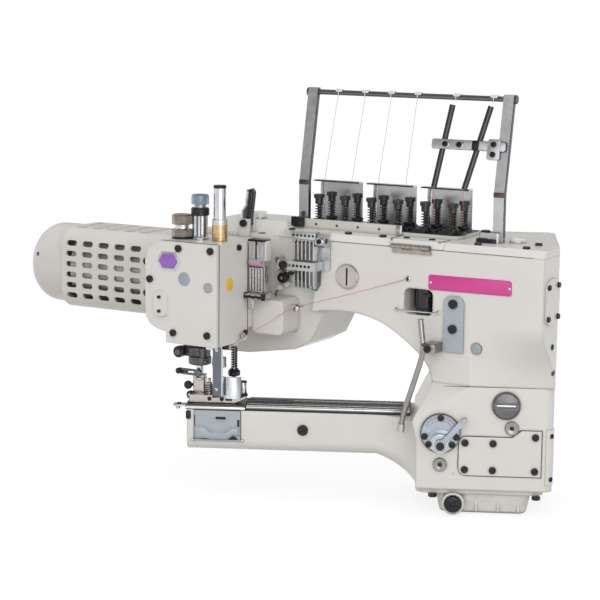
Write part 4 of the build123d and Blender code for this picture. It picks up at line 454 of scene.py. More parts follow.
clear_box = (Look("clear_plastic", (0.62, 0.60, 0.58), 0.16, Transmission_Weight=0.35, IOR=1.45)
             .relief(300, 0.05).mottle(60, (0.42, 0.40, 0.38), 0.6).material)
felt = (Look("pink_felt", (0.56, 0.36, 0.47), 0.9, Sheen_Weight=0.4)
        .relief(2500, 0.8, 0.0006).mottle(900, (0.42, 0.16, 0.28), 0.7).material)
magenta = (Look("magenta_plate", (0.60, 0.045, 0.26), 0.34, Coat_Weight=0.3, Coat_Roughness=0.15)
           .round_edges(0.0002).relief(1200, 0.05, 0.0001).mottle(30, (0.52, 0.035, 0.22), 0.4)
           .rough_noise(200, 0.3, 0.42).material)
yellow = enamel("yellow_label", (0.85, 0.56, 0.02), (0.74, 0.46, 0.02), 0.4, 0.0001)
pink_thread = (Look("pink_thread", (0.52, 0.16, 0.16), 0.8)
               .relief(3000, 0.5).mottle(2000, (0.7, 0.35, 0.33), 0.5).material)
white_thread = (Look("white_thread", (0.60, 0.59, 0.59), 0.8)
                .relief(3000, 0.5).mottle(2000, (0.62, 0.6, 0.6), 0.5).material)
pale_label = enamel("pale_label", (0.74, 0.70, 0.78), (0.66, 0.62, 0.72), 0.36, 0.0001)
violet_label = enamel("violet_label", (0.30, 0.12, 0.50), (0.24, 0.09, 0.42), 0.34, 0.0001)
white_plastic = enamel("white_plastic", (0.72, 0.71, 0.69), (0.62, 0.60, 0.57), 0.25, 0.0004)
bronze_grey = bright_metal("bronze_grey", (0.42, 0.37, 0.32), 0.26, 0.42)
blue_steel = bright_metal("blue_steel", (0.33, 0.385, 0.44), 0.3, 0.4, strength=0.03)
gunmetal = bright_metal("gunmetal", (0.17, 0.17, 0.17), 0.26, 0.42, (14, 1, 1))
brown_steel = bright_metal("brown_steel", (0.12, 0.085, 0.07), 0.3, 0.45)
satin_chrome = bright_metal("satin_chrome", (0.33, 0.32, 0.31), 0.14, 0.22, strength=0.02)
shield_metal = bright_metal("shield_sheet", (0.66, 0.69, 0.72), 0.3, 0.4, strength=0.03)
nickel = bright_metal("warm_nickel", (0.56, 0.51, 0.475), 0.22, 0.36, (1, 1, 8), 0.12)
blue_sheet = bright_metal("blue_sheet", (0.17, 0.185, 0.21), 0.24, 0.34, (1, 8, 1), 0.08)
white_metal = bright_metal("pale_steel", (0.76, 0.75, 0.74), 0.2, 0.34, (8, 1, 1), 0.1)
gloss_black = black_finish("gloss_black", (0.006, 0.006, 0.007), 0.14, 0.0, speck=0.05)
joint_line = Look("joint_line", (0.035, 0.03, 0.028), 0.8).mottle(400, (0.12, 0.10, 0.09), 0.6).material
dial_metal = (Look("dial_metal", (0.44, 0.48, 0.53), 0.4, 0.4).round_edges(0.0005)
              .relief(900, 0.1, 0.0002).mottle(60, (0.34, 0.38, 0.43), 0.5)
              .rough_noise(200, 0.3, 0.48).material)
mirror_sheet = bright_metal("mirror_sheet", (0.72, 0.73, 0.74), 0.34, 0.44, strength=0.03, edge=0.0002)
satin_grey = bright_metal("satin_grey", (0.56, 0.57, 0.58), 0.34, 0.42, strength=0.03)
rail_enamel = enamel("rail_enamel", (0.60, 0.585, 0.55), (0.52, 0.50, 0.46), 0.36, 0.0004)
gloss_steel = bright_metal("gloss_steel", (0.10, 0.10, 0.11), 0.18, 0.28, strength=0.05)
dark_tube = bright_metal("dark_tube", (0.06, 0.06, 0.065), 0.1, 0.16, strength=0.01)

# Each slot of the record with its looks. CAD nodes take the first one, or one of their own.
slot_looks = {
    "body_paint": (body_paint, white_plastic), "motor_paint": (motor_paint,),
    "wheel_shell": (wheel_shell,), "blue_grey_paint": (blue_grey,),
    "bright_steel": (bright_steel, satin_grey, nickel, white_metal, blue_sheet, shield_metal),
    "dark_steel": (dark_steel, gunmetal, brown_steel, blue_steel, bronze_grey, gloss_steel),
    "ground_steel": (ground_steel,), "chrome": (chrome, satin_chrome), "brass": (brass,),
    "black_metal": (black_metal,), "black_plastic": (black_plastic, gloss_black),
    "aluminium": (aluminium,), "cast_aluminium": (cast_aluminium,), "stator_core": (stator_core,),
    "clear_box": (clear_box, milky), "grey_plug": (grey_plug,),
}
node_looks = {
    "feed_dial": dial_metal, "guide_plates": mirror_sheet, "stand_uprights": satin_grey,
    "tension_rail": rail_enamel, "stand_bracket": dark_tube, "pressure_knob": bronze_grey,
    "feed_lever": dial_metal, "dial_knob": blue_steel, "stand_rod": gunmetal,
    "guide_bracket": satin_grey, "presser_foot": nickel, "finger_guard": blue_sheet,
    "needle_plate": gunmetal, "bed_rails": gunmetal, "guard_tube": chrome, "lid_hinge": bronze_grey,
    "arm_casting": cast_paint, "bed_base": cast_paint, "lifting_lever": gloss_steel,
}
usual_slots = {look.name: slot for slot, looks in slot_looks.items() for look in looks}
node_slots = {row["node"]: row["material_slot"] for row in frame["record"]["subparts"]}
for node_name, node in frame["nodes"].items():
    node.data.materials.clear()
    node.data.materials.append(node_looks.get(node_name) or slot_looks[node_slots[node_name]][0])
    shade_smooth(node.data, CAD_SHARP)


# Camera and light

PHOTO_LENS = 111.0
SENSOR_WIDTH = 36
CAMERA_AT = Vector((-25.3, -2036.4, 539.4))
LOOKS_AT = Vector((-203.5, 0, 201.0))
CAMERA_ROLL = math.radians(0.6)
ROOM_LIGHT = 0.68
ROOM_SIDES, ROOM_TOP = 0.6 * ROOM_LIGHT, 1.55 * ROOM_LIGHT
NEAR_CLIP, FAR_CLIP = 0.1, 20  # metres
FLOOR_Z = -24.6
FLOOR_RADIUS = 40  # metres
# Name, spot and size in metres, power in watts and colour of the two soft lamps
LAMPS = (("key_light", (-0.75, -1.9, 0.9), (1.6, 1.4), 9.4, (1, 0.99, 0.98)),
         ("front_light", (0.5, -2.0, 0.5), (1.4, 1.1), 11, (1, 1, 1)))
# What mirrors see of the room: axis, span along it, and the tones at its two ends
MIRROR_RAMPS = (("Y", -0.55, 0.15, 0.26, 1.0), ("Y", 0.6, 0.9, 1.0, 0.45), ("Z", 0.2, 0.95, 1.0, 0.62))
FLOOR_GREY = (0.52, 0.515, 0.505, 1)
FLOOR_PALE = (0.95, 0.95, 0.95, 1)
FLOOR_GLOW = 1.1
GLOW_SHARE = 0.72


def make_camera():
    camera = bpy.data.objects.new("camera", bpy.data.cameras.new("camera"))
    bpy.context.scene.collection.objects.link(camera)
    camera.data.lens = PHOTO_LENS
    camera.data.sensor_width = SENSOR_WIDTH
    camera.data.clip_start, camera.data.clip_end = NEAR_CLIP, FAR_CLIP
    camera.location = CAMERA_AT * MM
    turn = (LOOKS_AT - CAMERA_AT).to_track_quat("-Z", "Y").to_matrix().to_4x4()
    turn = turn @ Matrix.Rotation(CAMERA_ROLL, 4, "Z")
    camera.rotation_euler = turn.to_euler()
    bpy.context.scene.camera = camera


def soft_light(name, spot, size, power, color):
    lamp = bpy.data.lights.new(name, "AREA")
    lamp.shape = "RECTANGLE"
    lamp.size, lamp.size_y = size
    lamp.energy = power
    lamp.color = color
    obj = bpy.data.objects.new(name, lamp)
    obj.location = spot
    aim = LOOKS_AT * MM - obj.location
    obj.rotation_euler = aim.to_track_quat("-Z", "Y").to_euler()
    bpy.context.scene.collection.objects.link(obj)


def make_light():
    """Plain soft room. Reflections see it white behind the machine and darker in front."""
    world = bpy.data.worlds.new("studio")
    bpy.context.scene.world = world
    world.use_nodes = True
    tree = world.node_tree
    sky = tree.nodes["Background"]

    way = tree.nodes.new("ShaderNodeTexCoord")
    split = tree.nodes.new("ShaderNodeSeparateXYZ")
    tree.links.new(way.outputs["Generated"], split.inputs[0])
    tones = []
    for axis, *ends in MIRROR_RAMPS:
        ramp = map_range(tree, split.outputs[axis], *ends)
        ramp.interpolation_type = "SMOOTHSTEP"
        tones.append(ramp.outputs[0])
    rays = tree.nodes.new("ShaderNodeLightPath").outputs
    mirrored = combine(tree, "MULTIPLY", combine(tree, "MULTIPLY", *tones[:2]), tones[2])
    seen = combine(tree, "MAXIMUM", rays["Is Camera Ray"], rays["Is Transmission Ray"])
    glossy = combine(tree, "MULTIPLY", rays["Is Glossy Ray"], mirrored)
    shown = combine(tree, "MAXIMUM", seen, glossy)
    plain = combine(tree, "SUBTRACT", 1.0, combine(tree, "MAXIMUM", seen, rays["Is Glossy Ray"]))
    above = map_range(tree, split.outputs["Z"], 0, 0.9, ROOM_SIDES, ROOM_TOP)
    strength = combine(tree, "MULTIPLY_ADD", plain, above.outputs[0], shown)
    tree.links.new(strength, sky.inputs["Strength"])
    sky.inputs["Color"].default_value = (1, 1, 1, 1)
    for lamp in LAMPS:
        soft_light(*lamp)
    bpy.context.scene.view_settings.view_transform = "Standard"


make_camera()
make_light()

# Middles of the twelve tension posts, two for each column of the rail, and of the guide plates
POST_ROWS = (149, 179)
POST_COLUMNS = [44 + 33.9 * n for n in range(6)]
POSTS = [(u, v) for u in POST_COLUMNS for v in POST_ROWS]
GUIDE_MIDDLES = [48 + 69.7 * n for n in range(3)]

# Planes on which most of the details stand, as v, z or y of their seats
ARM_FRONT = 100
NECK_FRONT = 112
COVER_TOP = 275
RAIL_TOP = 279
BASE_FRONT = -66
DIAL_FRONT = -70
BED_TOP = 83
BED_FRONT = -21.5
ROOM_FRONT = -23
# Upright axes shared by details: the presser bar with the dial on top, and the guide post beside it
PRESSER_AXIS = on_top(-45, 36, 0)
POST_AXIS = on_top(-30.4, 33, 0)
# Ends of the last thread run
LAST_EYELET = arm(-8, 31, 148.5)


# Head

def badge_and_labels():
    """Bare badge, round label and name plate: their lettering is left off."""
    place = on_front(-63.6, 244.3, 0)
    prism(place, hexagon(31, 20.5), 0.6, 0.25)
    done("badge_rim", satin_grey, slot=None)
    prism(place, hexagon(26, 16), 0.85, 0.2, 0.3)
    done("badge_field", violet_label)
    prism(place, hexagon(19.5, 10.5), 1.1, 0.2, 0.5)
    done("badge_plate", violet_label)
    side = on_side(26.6, 220.1, 0)
    prism(side, circle(7.4, 40), 0.3, 0.1)
    done("round_label", yellow)
    # name plate of the arm, left plain
    plate = on_front(258.7, 232.2, ARM_FRONT) @ Matrix.Rotation(math.radians(0.6), 4, "Z")
    slab(plate, 98.6, 17, 3.4, 0.9, 0.3)
    done("name_plate", magenta)
    slab(plate, 100.2, 18.4, 4, 0.45, 0.2)
    done("name_plate_rim", pale_label)
    for x in (-46.4, 46.6):
        spot = plate @ Matrix.Translation((x, 0, 0.8))
        lathe(spot, [(1.7, 0), (1.5, 0.5), (0.9, 0.9), (0, 1)], 16)
    done("name_plate_rivets", chrome)


def head_top():
    """Knobs, dial and guard on the head, and the face of the lifting lever with a painted highlight along
    its edge.
    """
    knob = on_top(-66.5, 32, 0)
    for low, high in ((269, 276.6), (283, 292.6)):
        prism(knob, gear(11.7, 11, 54), high, 0.35, low)
    lathe(knob, [(11.2, 292.4), (10.4, 293.6), (8.6, 293.9), (7.9, 293.1), (0, 293.1)], 40)
    done("pressure_knob_grip", bronze_grey, "pressure_knob")
    lathe(knob, [(8.6, 276.9), (7.7, 278), (7.7, 282), (8.6, 282.9)], 40)
    done("pressure_knob_waist", chrome, "pressure_knob")
    lathe(knob, [(11.5, 266.7), (11.7, 267.2), (11.5, 268.6), (9, 269.2)], 40)
    done("pressure_knob_base", black_metal, "pressure_knob")

    prism(PRESSER_AXIS, gear(9.9, 9.3, 44), 315.6, 0.4, 306.2)
    lathe(PRESSER_AXIS, [(9.4, 315.4), (8.6, 316.8), (6.4, 317.2), (5.9, 316.6), (0, 316.6)], 36)
    done("dial_cap", blue_steel, "dial_knob")
    lathe(PRESSER_AXIS, [(9.5, 293.6), (10.3, 294.4), (10.3, 301.2), (9.4, 302.2), (6, 302.2)], 36)
    done("dial_collar", black_metal)
    for angle in (-152, -118, -80, -52, -20):
        prism(PRESSER_AXIS, arc_band(8.85, 8.4, angle - 6, angle + 6, 4), 293.6, 0, 270)
    done("dial_sleeve_windows", dark_steel)
    lathe(PRESSER_AXIS, [(9.6, 266.6), (9.6, 268.8), (8.7, 269.6)], 36)
    done("dial_foot", chrome)

    guard = on_top(-19, 36, 0)
    lathe(guard, [(7, 325.6), (7.3, 326.2), (7.3, 328.2), (6.9, 328.8), (5.6, 328.8)], 36)
    done("guard_rim", black_metal)
    lathe(guard, [(7.6, 284.4), (8.4, 285), (8.4, 290.4), (7.6, 291), (6.8, 291)], 36)
    done("guard_ring", chrome)
    for z in (270.5, 274.5, 281):
        lathe(guard, [(8.4, z - 0.5), (8.75, z), (8.4, z + 0.5)], 36)
    done("guard_base_rings", brass)

    lever = on_front(-33, 278, 113.6)
    face = [(-4.6, 2), (5, 2), (7.4, 18), (9.2, 35), (6.6, 38.6), (1.6, 37), (-0.4, 20), (-5.2, 14)]
    prism(lever, face, 0.7, 0.25, -0.2)
    done("lever_face", gloss_steel, "lifting_lever")
    # a pale steel strip on the lever's left edge: a painted highlight
    edge = [(-5.2, 3), (-3, 3), (-3, 13), (2.4, 20), (4.4, 36.6), (1.2, 37), (-0.8, 20.4), (-5.8, 14.2)]
    prism(lever, edge, 1, 0.2)
    done("lever_painted_highlight", white_metal, "lifting_lever")


def head_side():
    """Joint lines and small fittings of the head housing."""
    seam(on_side(0, 0, 0.02), [(5, 152.4), (5, 266.4)], 0.55)
    seam(on_top(0, 0, 266.52), [(-76, 5), (0, 5)], 0.5)
    seam(on_side(0, 0, 0.02), [(65, 160), (65, 266)], 0.45)
    done("head_joints", joint_line)
    for u, z in ((-124, 245), (-125, 185)):
        slotted(on_front(u, z, 102.2), 3.2, 1.6)
    done("motor_front_screws", black_metal)


def neck_details():
    """Thread box, slotted guide plates and small fittings between head and arm."""
    slab(on_top(11, 71.8, 264.6), 23.4, 13.6, 2, 2.2, 0.5)
    slab(on_front(11, 254.5, 65.4), 2, 20, 0.6, 0.5, 0.1)
    done("box_lid", black_metal)
    slab(on_side(71.8, 254.5, 21.9), 12, 22.6, 1.4, 1.4, 0.4)
    done("box_end", motor_paint)
    for n in range(4):
        slab(on_front(2.8 + 5.2 * n, 253.6, 65.5), 2.9, 15, 0.9, 0.7, 0.3)
    done("box_partitions", milky)
    axis = seat(arm(1.4, 65.4, 240.4), ARM_Y, UP)
    for low in (0, 1.9):
        helix(axis, 2.2, 1.15, 4.2, 16, 14, low, 8)
    done("thread_felt", felt)

    slab(on_front(10.5, 221.5, 67), 18.6, 29, 0.6, 0.6, 0.1)
    done("plate_back", black_metal)
    for n in range(5):
        u = 2.9 + 3.75 * n
        slab(on_front(u, 222, 66.5), 2.9, 27, 0.7, 1.5, 0.4)
    slab(on_side(70.8, 221.5, 20.2), 8.6, 31, 0.8, 0.9, 0.2)
    for z in (208.6, 234.6):
        slab(on_front(10.5, z, 65.4), 19, 1.5, 0.5, 0.8, 0.2)
    done("slotted_plates", bright_steel)
    for n in range(4):
        lathe(on_top(4.5 + 5 * n, 61, 205.8), [(2.1, 0), (2.1, 0.5), (1.6, 0.8), (1.3, 0.6), (1.3, 0)], 18)
    disc(on_front(15, 212.6, 65.2), 1.8, 0.9, 16)
    done("strip_eyelets", chrome)
    for u in (-0.2, 23.6):
        slab(on_top(u, 59.6, 199.6), 4, 5.4, 0.8, 7.4, 0.5)
    slab(on_front(12, 203, 56.9), 25, 2.6, 0.6, 0.8, 0.2)
    for n, z in enumerate((201.9, 204.1, 201.9, 204.1, 201.9)):
        disc(on_front(4 + 4 * n, z, 56.4), 1.1, 0.5, 14)
    done("strip_blocks", black_metal)
    slab(on_front(7.6, 194.4, 60.5), 7.4, 11, 1, 1.3, 0.3)
    lathe(on_front(7.6, 191.6, 59.3), [(1.9, 0), (1.9, 0.8), (0.8, 0.9), (0, 0.3)], 16)
    done("low_guide", bright_steel)

    # small fittings on the neck beside the box
    lathe(on_front(24.5, 220.4, NECK_FRONT),
          [(2.6, 0), (2.6, 9), (5.6, 9.4), (5.6, 13.6), (4.6, 14.6), (0, 14.6)], 24)
    prism(on_front(24.5, 220.4, 103), gear(6.2, 5.6, 22), 3.8, 0.3)
    slab(on_front(19.4, 231.2, NECK_FRONT), 7, 5, 1.2, 9, 0.8)
    done("neck_knob", black_metal)
    lathe(on_front(24.5, 233.6, NECK_FRONT), [(3.2, 0), (3.2, 12), (2.2, 13), (0, 13)], 20)
    slab(on_front(17.8, 240.4, NECK_FRONT), 6, 7, 1.4, 12, 0.8)
    lathe(on_front(24.5, 220.4, 97.3), [(2.2, 0), (1.8, 0.7), (0, 0.8)], 16)
    done("neck_fittings", chrome)
    prism(on_front(26.5, 229.2, NECK_FRONT), hexagon(9, 8), 8.5, 0.8)
    disc(on_front(26.5, 229.2, 103.8), 2.8, 2.4, 18)
    done("neck_union", brass)
    for u, z in ((17.6, 208), (27.2, 212.6)):
        lathe(on_front(u, z, NECK_FRONT), [(3.4, 0), (3.4, 7), (2.8, 8.2), (0, 8.6)], 20)
    done("neck_caps", white_plastic)
    line = smooth_line([arm(14.5, 111, 206), arm(14.8, 103, 202), arm(17, 101, 197), arm(23, 101, 191.5),
                        arm(30, 101, 187), arm(34.5, 104, 184.5), arm(35.5, 112.5, 183.6)])
    tube(line, 0.9, 10)
    done("neck_pipe", dark_steel)
    slab(on_front(9.8, 175.4, NECK_FRONT), 3.2, 6, 1.5, 0.35, 0.1)
    done("neck_slot", black_metal)
    lathe(on_side(50, 158.8, 3.4),
          [(1.6, -4), (1.6, 0), (3.6, 0.2), (3.6, 1.2), (2.4, 1.8), (1.4, 1.2), (1.4, 0.6)], 20)
    done("low_eyelet", chrome)


def take_up_details():
    """Guide plate, washers and eyelets round the take-up levers, and painted shade behind them."""
    # a gunmetal sheet on the arm face behind the levers: painted shade
    outline = [(48, 240), (48, 224), (57, 212), (70, 209), (75, 216), (76, 240)]
    prism(on_front(0, 0, ARM_FRONT), outline, 0.5, 0.1)
    done("take_up_painted_shade", gunmetal)
    slab(on_front(61.5, 273.4, 83.6), 31, 8.4, 1, 1.1, 0.3)
    slab(on_side(88.5, 275.4, 74), 10, 3.4, 0.6, 3.2, 0.2)
    done("guide_top_plate", satin_grey)
    for n in range(6):
        disc(on_front(49 + 5 * n, 273.4, 82.5), 1.5, 0.15, 16)
    for n in range(5):
        disc(on_front(51 + 5 * n, 239, 79), 1.7, 0.15, 16)
    done("guide_holes", black_metal)
    lathe(on_front(83, 268.4, 82.9), [(4.4, 0), (4.4, 1.6), (3.6, 2.2), (2.8, 2.2)], 24)
    done("bearing_ring", chrome)
    socket_screw(on_front(83, 268.4, 81.4), 2.9, 2)
    slab(on_front(46.5, 229.6, 82.8), 6, 4, 1, 3.4, 0.6)
    done("bearing_screw", black_metal)
    for n in range(6):
        lathe(on_side(90, 268, 48.85 + 5 * n), [(4.2, 0), (4.2, 1.1), (3.2, 1.4)], 20)
    done("lever_washers", chrome, "take_up")
    lathe(on_front(183.8, 232.8, ARM_FRONT), [(3.5, 0), (3.3, 0.7), (2.6, 1.1), (2, 0.8), (1.8, 0)], 24)
    tube([arm(51, 101, 190.4), arm(51, 92, 190.4), arm(51.2, 84, 190.6)], 1.5, 12)
    lathe(on_front(51.2, 190.6, 84.4),
          [(3.2, -3.4), (4.4, -2.6), (4.4, 1.6), (3.2, 2.6), (1.9, 2.4), (1.7, 0)], 26)
    done("thread_eyelets", chrome)
    for u, v, z in ((51.2, 84.3, 190.6), (183.8, 99.9, 232.8)):
        disc(on_front(u, z, v), 1.9, 0.2, 18)
    done("eyelet_holes", black_metal)


def arm_details():
    """What stands in the window, joint lines, hinge and screws of the arm."""
    # the glossy cylinder that stands inside the window
    slab(on_front(197.5, 208.5, 125.8), 34.4, 28.4, 3, 0.6, 0.1)
    lathe(on_top(199.5, 113.5, 0), [(10.6, 194.4), (10.6, 222.6)], 40)
    slab(on_front(206, 216.5, 103.6), 9, 3.4, 0.8, 1, 0.3)
    done("window_cylinder", gloss_black)
    wire = smooth_line([arm(171.4, 101, 198.4), arm(171.4, 96.4, 198.4), arm(173.2, 95, 198.4),
                        arm(197, 94.8, 198.8), arm(220.4, 95, 199.1), arm(222.2, 96.4, 199.2),
                        arm(222.2, 101, 199.2)], 5)
    tube(wire, 0.85, 10)
    for u, z in ((171.4, 198.4), (222.2, 199.2)):
        lathe(on_front(u, z, ARM_FRONT), [(2.4, 0), (2.2, 0.8), (1, 1.2)], 18)
    done("window_wire", chrome)
    seam(on_top(0, 0, COVER_TOP + 0.05), [(158.9, 129), (158.9, 107), (161, 103), (164, 101.4)], 0.5)
    seam(on_top(0, 0, COVER_TOP + 0.05), [(220.6, 129), (220.6, 108), (218, 104)], 0.5)
    seam(on_front(0, 0, ARM_FRONT), [(20, 267.2), (163, 267.2)], 0.3)
    seam(on_front(0, 0, ARM_FRONT), [(214, 267.2), (330, 267.2)], 0.3)
    done("cover_joints", joint_line)
    for u in (172, 203):
        slotted(on_top(u, 120, COVER_TOP), 3.6, 1.1, 15)
    done("lid_screws", black_metal, "lid")
    for u in (165.4, 176.95, 188.35, 200.45, 211.6):
        lathe(on_side(97, 269, u), [(2.75, -0.3), (2.75, 0.3)], 20)
    done("hinge_rings", dark_steel)
    for u in (177.5, 201):
        lathe(on_side(97, 269, u), [(2.5, 0), (2.64, 0.1), (2.64, 10.2), (2.5, 10.3)], 20)
    done("lid_knuckles", bronze_grey, "lid", slot="bright_steel")
    slotted(on_top(-13, 117, 266.2), 4.2, 1.4)
    slotted(on_top(30, 112, COVER_TOP), 3.8, 1.3)
    for v, z in ((128, 169), (133, 140)):
        slotted(on_side(v, z, 343.6), 3.2, 1.6, 70)
    done("arm_screws", black_metal)


def rod_details():
    """Bent guide rod with its ferrule and clamp."""
    route = [(209.5, 193.4), (211.4, 178), (213, 166), (212.8, 156), (209.4, 142.6), (203.4, 124),
             (197, 104.6), (191.6, 86.6), (189.2, 76), (188.1, 66)]
    line = smooth_line([arm(u, 82, z) for u, z in route], 5)
    tube(line, 3.1, 18)
    slab(on_front(220.5, 162, 97), 17, 11, 2, 18.4, 0.5)
    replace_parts(done("guide_rod_bar", satin_chrome), "guide_rod")
    down = (line[-1] - line[-2]).normalized()
    foot = seat(line[-1] - down * 9.4, ARM_Y, down.cross(ARM_Y))
    lathe(foot, [(3.2, 0), (3.9, 0.6), (4.2, 8.6), (3.5, 9.6), (0, 9.6)], 24)
    done("guide_rod_ferrule", nickel, slot="chrome")


def tension_details():
    """Coils, discs, tabs and brackets of the twelve tension posts."""
    for name, posts, look in (("tension_coils_dark", POSTS[:8], dark_steel),
                              ("tension_coils_brown", POSTS[8:], brown_steel)):
        for u, v in posts:
            helix(on_top(u, v, 0), 3.95, 0.72, 5.5, 16.4, 16, 285.6, 6)
        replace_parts(done(name, look), "tension_springs")
    for u in POST_COLUMNS[3:]:
        slab(on_top(u - 1, 138.8, RAIL_TOP), 15, 6.5, 1.2, 5.2, 0.8)
        slab(on_top(u + 12, 149, RAIL_TOP), 7, 12, 1.2, 3.6, 0.8)
    for middle in GUIDE_MIDDLES:
        slab(on_front(middle - 2, 324.4, 185.7), 60, 1.5, 0.5, 0.5, 0.1)
    slab(on_front(27, 282.2, 131.8), 16, 11, 1.5, 4, 0.8)
    slab(on_top(27, 128.6, 286.2), 14, 6, 1.5, 1.6, 0.4)
    done("tension_tabs", black_metal)
    for u, v in POSTS:
        lathe(on_top(u, v, RAIL_TOP), [(7.3, 0), (7.3, 0.9), (6.2, 1.2)], 28)
        lathe(on_top(u, v, 283.6), [(6.2, 0), (7.2, 0.3), (7.2, 1), (4, 1.4)], 28)
    done("tension_discs", dark_steel)
    for u in POST_COLUMNS[:3]:
        slab(on_top(u, 138.6, RAIL_TOP), 9, 5, 1, 3.2, 0.5)
    for middle in GUIDE_MIDDLES:
        slab(on_front(middle - 24, 300, 195), 3, 46, 0.6, 0.5, 0.1)
    slab(on_front(157, 281.4, 131.6), 7, 11, 1, 1.8, 0.4)
    done("tension_brackets", bright_steel)
    for n in range(4):
        disc(on_front(90.5 + 27 * (n - 1.5), 280.5, 131.75), 1.5, 0.15, 16)
    done("bar_holes", joint_line)
    for u, v in POSTS:
        lathe(on_top(u, v, 311.4), [(1.9, 0), (1.9, 1.6), (1.2, 2.1), (0, 2.1)], 16)
    done("post_tips", black_metal)


def stand_details():
    """Eyelets, bracket, screws and foot of the thread stand."""
    for u in (63, 97, 130, 163, 210, 255):
        slab(on_top(u, 160, 430), 9, 5.6, 1.6, 3.2, 0.7)
        tube([arm(u, 157, 430.4), arm(u, 156.6, 428), arm(u, 157.6, 425)], 0.6, 7)
    done("rod_eyelets", white_plastic)
    place = seat(arm(0, 137.5, 328), ARM_X, UP * 106 + ARM_Y * 19.5)
    prism(place, rounded(88, 10.4, 2.8, (232.5, 51)), 3.3, 0.4, 2.45)
    prism(place, rounded(15, 23, 3, (263, 47.4)), 4.6, 0.7, 3)
    for x in (205, 222):
        lathe(place @ Matrix.Translation((x, 51, 3.2)), [(4.8, 0), (4.8, 0.9), (4.2, 1.3), (2.6, 1.3)], 24)
    done("stand_bracket_face", satin_grey, slot="aluminium")
    for x, y, high in ((205, 51, 4.4), (222, 51, 4.4), (263, 53, 4.5), (263, 42, 4.5)):
        socket_screw(place @ Matrix.Translation((x, y, high)), 3.1, 1.9)
    prism(place, rounded(8, 11, 1.5, (241, 51)), 4.6, 0.8, 3)
    done("stand_screws", black_metal)
    for u in (21.7, 279.1):
        lathe(on_side(160, 429, u), [(4.4, 0), (4.9, 0.5), (4.9, 2), (4.4, 2.5)], 24)
    for z in (281.5, 291):
        slotted(on_front(30, z, 137.5), 2.6, 1.5)
    done("stand_ends", dark_steel)
    for u in (36.1, 279.1):
        outline = [(137.7, 281), (143.3, 281), (143.3, 327.6),
                   (162.8, 433.4), (157.2, 433.4), (137.7, 328.4)]
        prism(on_side(0, 0, u), outline, 0.35, 0.1)
    done("upright_sides", dark_steel)
    for u in (30, 273):
        slab(on_front(u, 327, 137.6), 12.6, 5.4, 1.2, 0.7, 0.3)
    done("upright_kinks", brown_steel)
    slab(on_top(173, 165, RAIL_TOP), 106, 60, 3, 0.7, 0.2)
    for u in POST_COLUMNS[3:]:
        for v in POST_ROWS:
            slab(on_top(u, v, 279.6), 15, 15, 3, 2.6, 0.6)
        slab(on_top(u - 8, 164, 279.6), 5, 40, 1.5, 3.6, 0.5)
    done("rail_mechanism", black_metal)
    lathe(on_top(259, 137, COVER_TOP),
          [(8.2, 0), (8.2, 4), (7, 5), (5.4, 5), (5.4, 12.4), (4.6, 13.2), (0, 13.2)], 28)
    slab(on_top(262, 139, COVER_TOP), 25, 19, 4, 4.4, 0.8)
    done("stand_clamp", black_metal)


def threads():
    """Sewing threads, run from eyelet to eyelet."""
    for top, low in ((61.9, 28.3), (96.7, 64.2), (129.6, 98.8), (162, 134.2)):
        tube([arm(top, 158.4, 426), arm((top + low) / 2, 174, 376), arm(low, 189.5, 325.5)], 0.32, 6)
    done("white_threads", white_thread)
    for top_u, top_z, low_u, low_z in ((189, 335.4, 190.1, 293.1), (224.3, 336.4, 225.6, 290.1)):
        tube([arm(top_u, 150, top_z), arm(low_u, 150, low_z)], 0.3, 6)
    tube(smooth_line([arm(183.8, 99, 232.7), arm(117, 90, 211), arm(51.2, 81.4, 190.6),
                      arm(28, 65.5, 174.2), arm(6.2, 49.6, 159), arm(1.4, 42, 154), LAST_EYELET]), 0.34, 6)
    done("pink_threads", pink_thread)
    # The last run, between the head and the needle bar, rides no body: its place is baked into its mesh.
    for side, low in ((0, arm(-16, 28.2, 129)), (2.2, arm(-18.6, 28.2, 131))):
        run = [LAST_EYELET, arm(-11 - side, 28.4, 143), arm(-14.4 - side, 27.2, 136), low]
        tube(smooth_line(run), 0.4, 6)
    ends = done("needle_threads", pink_thread, None)
    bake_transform(ends)


# Base, bed and needle area

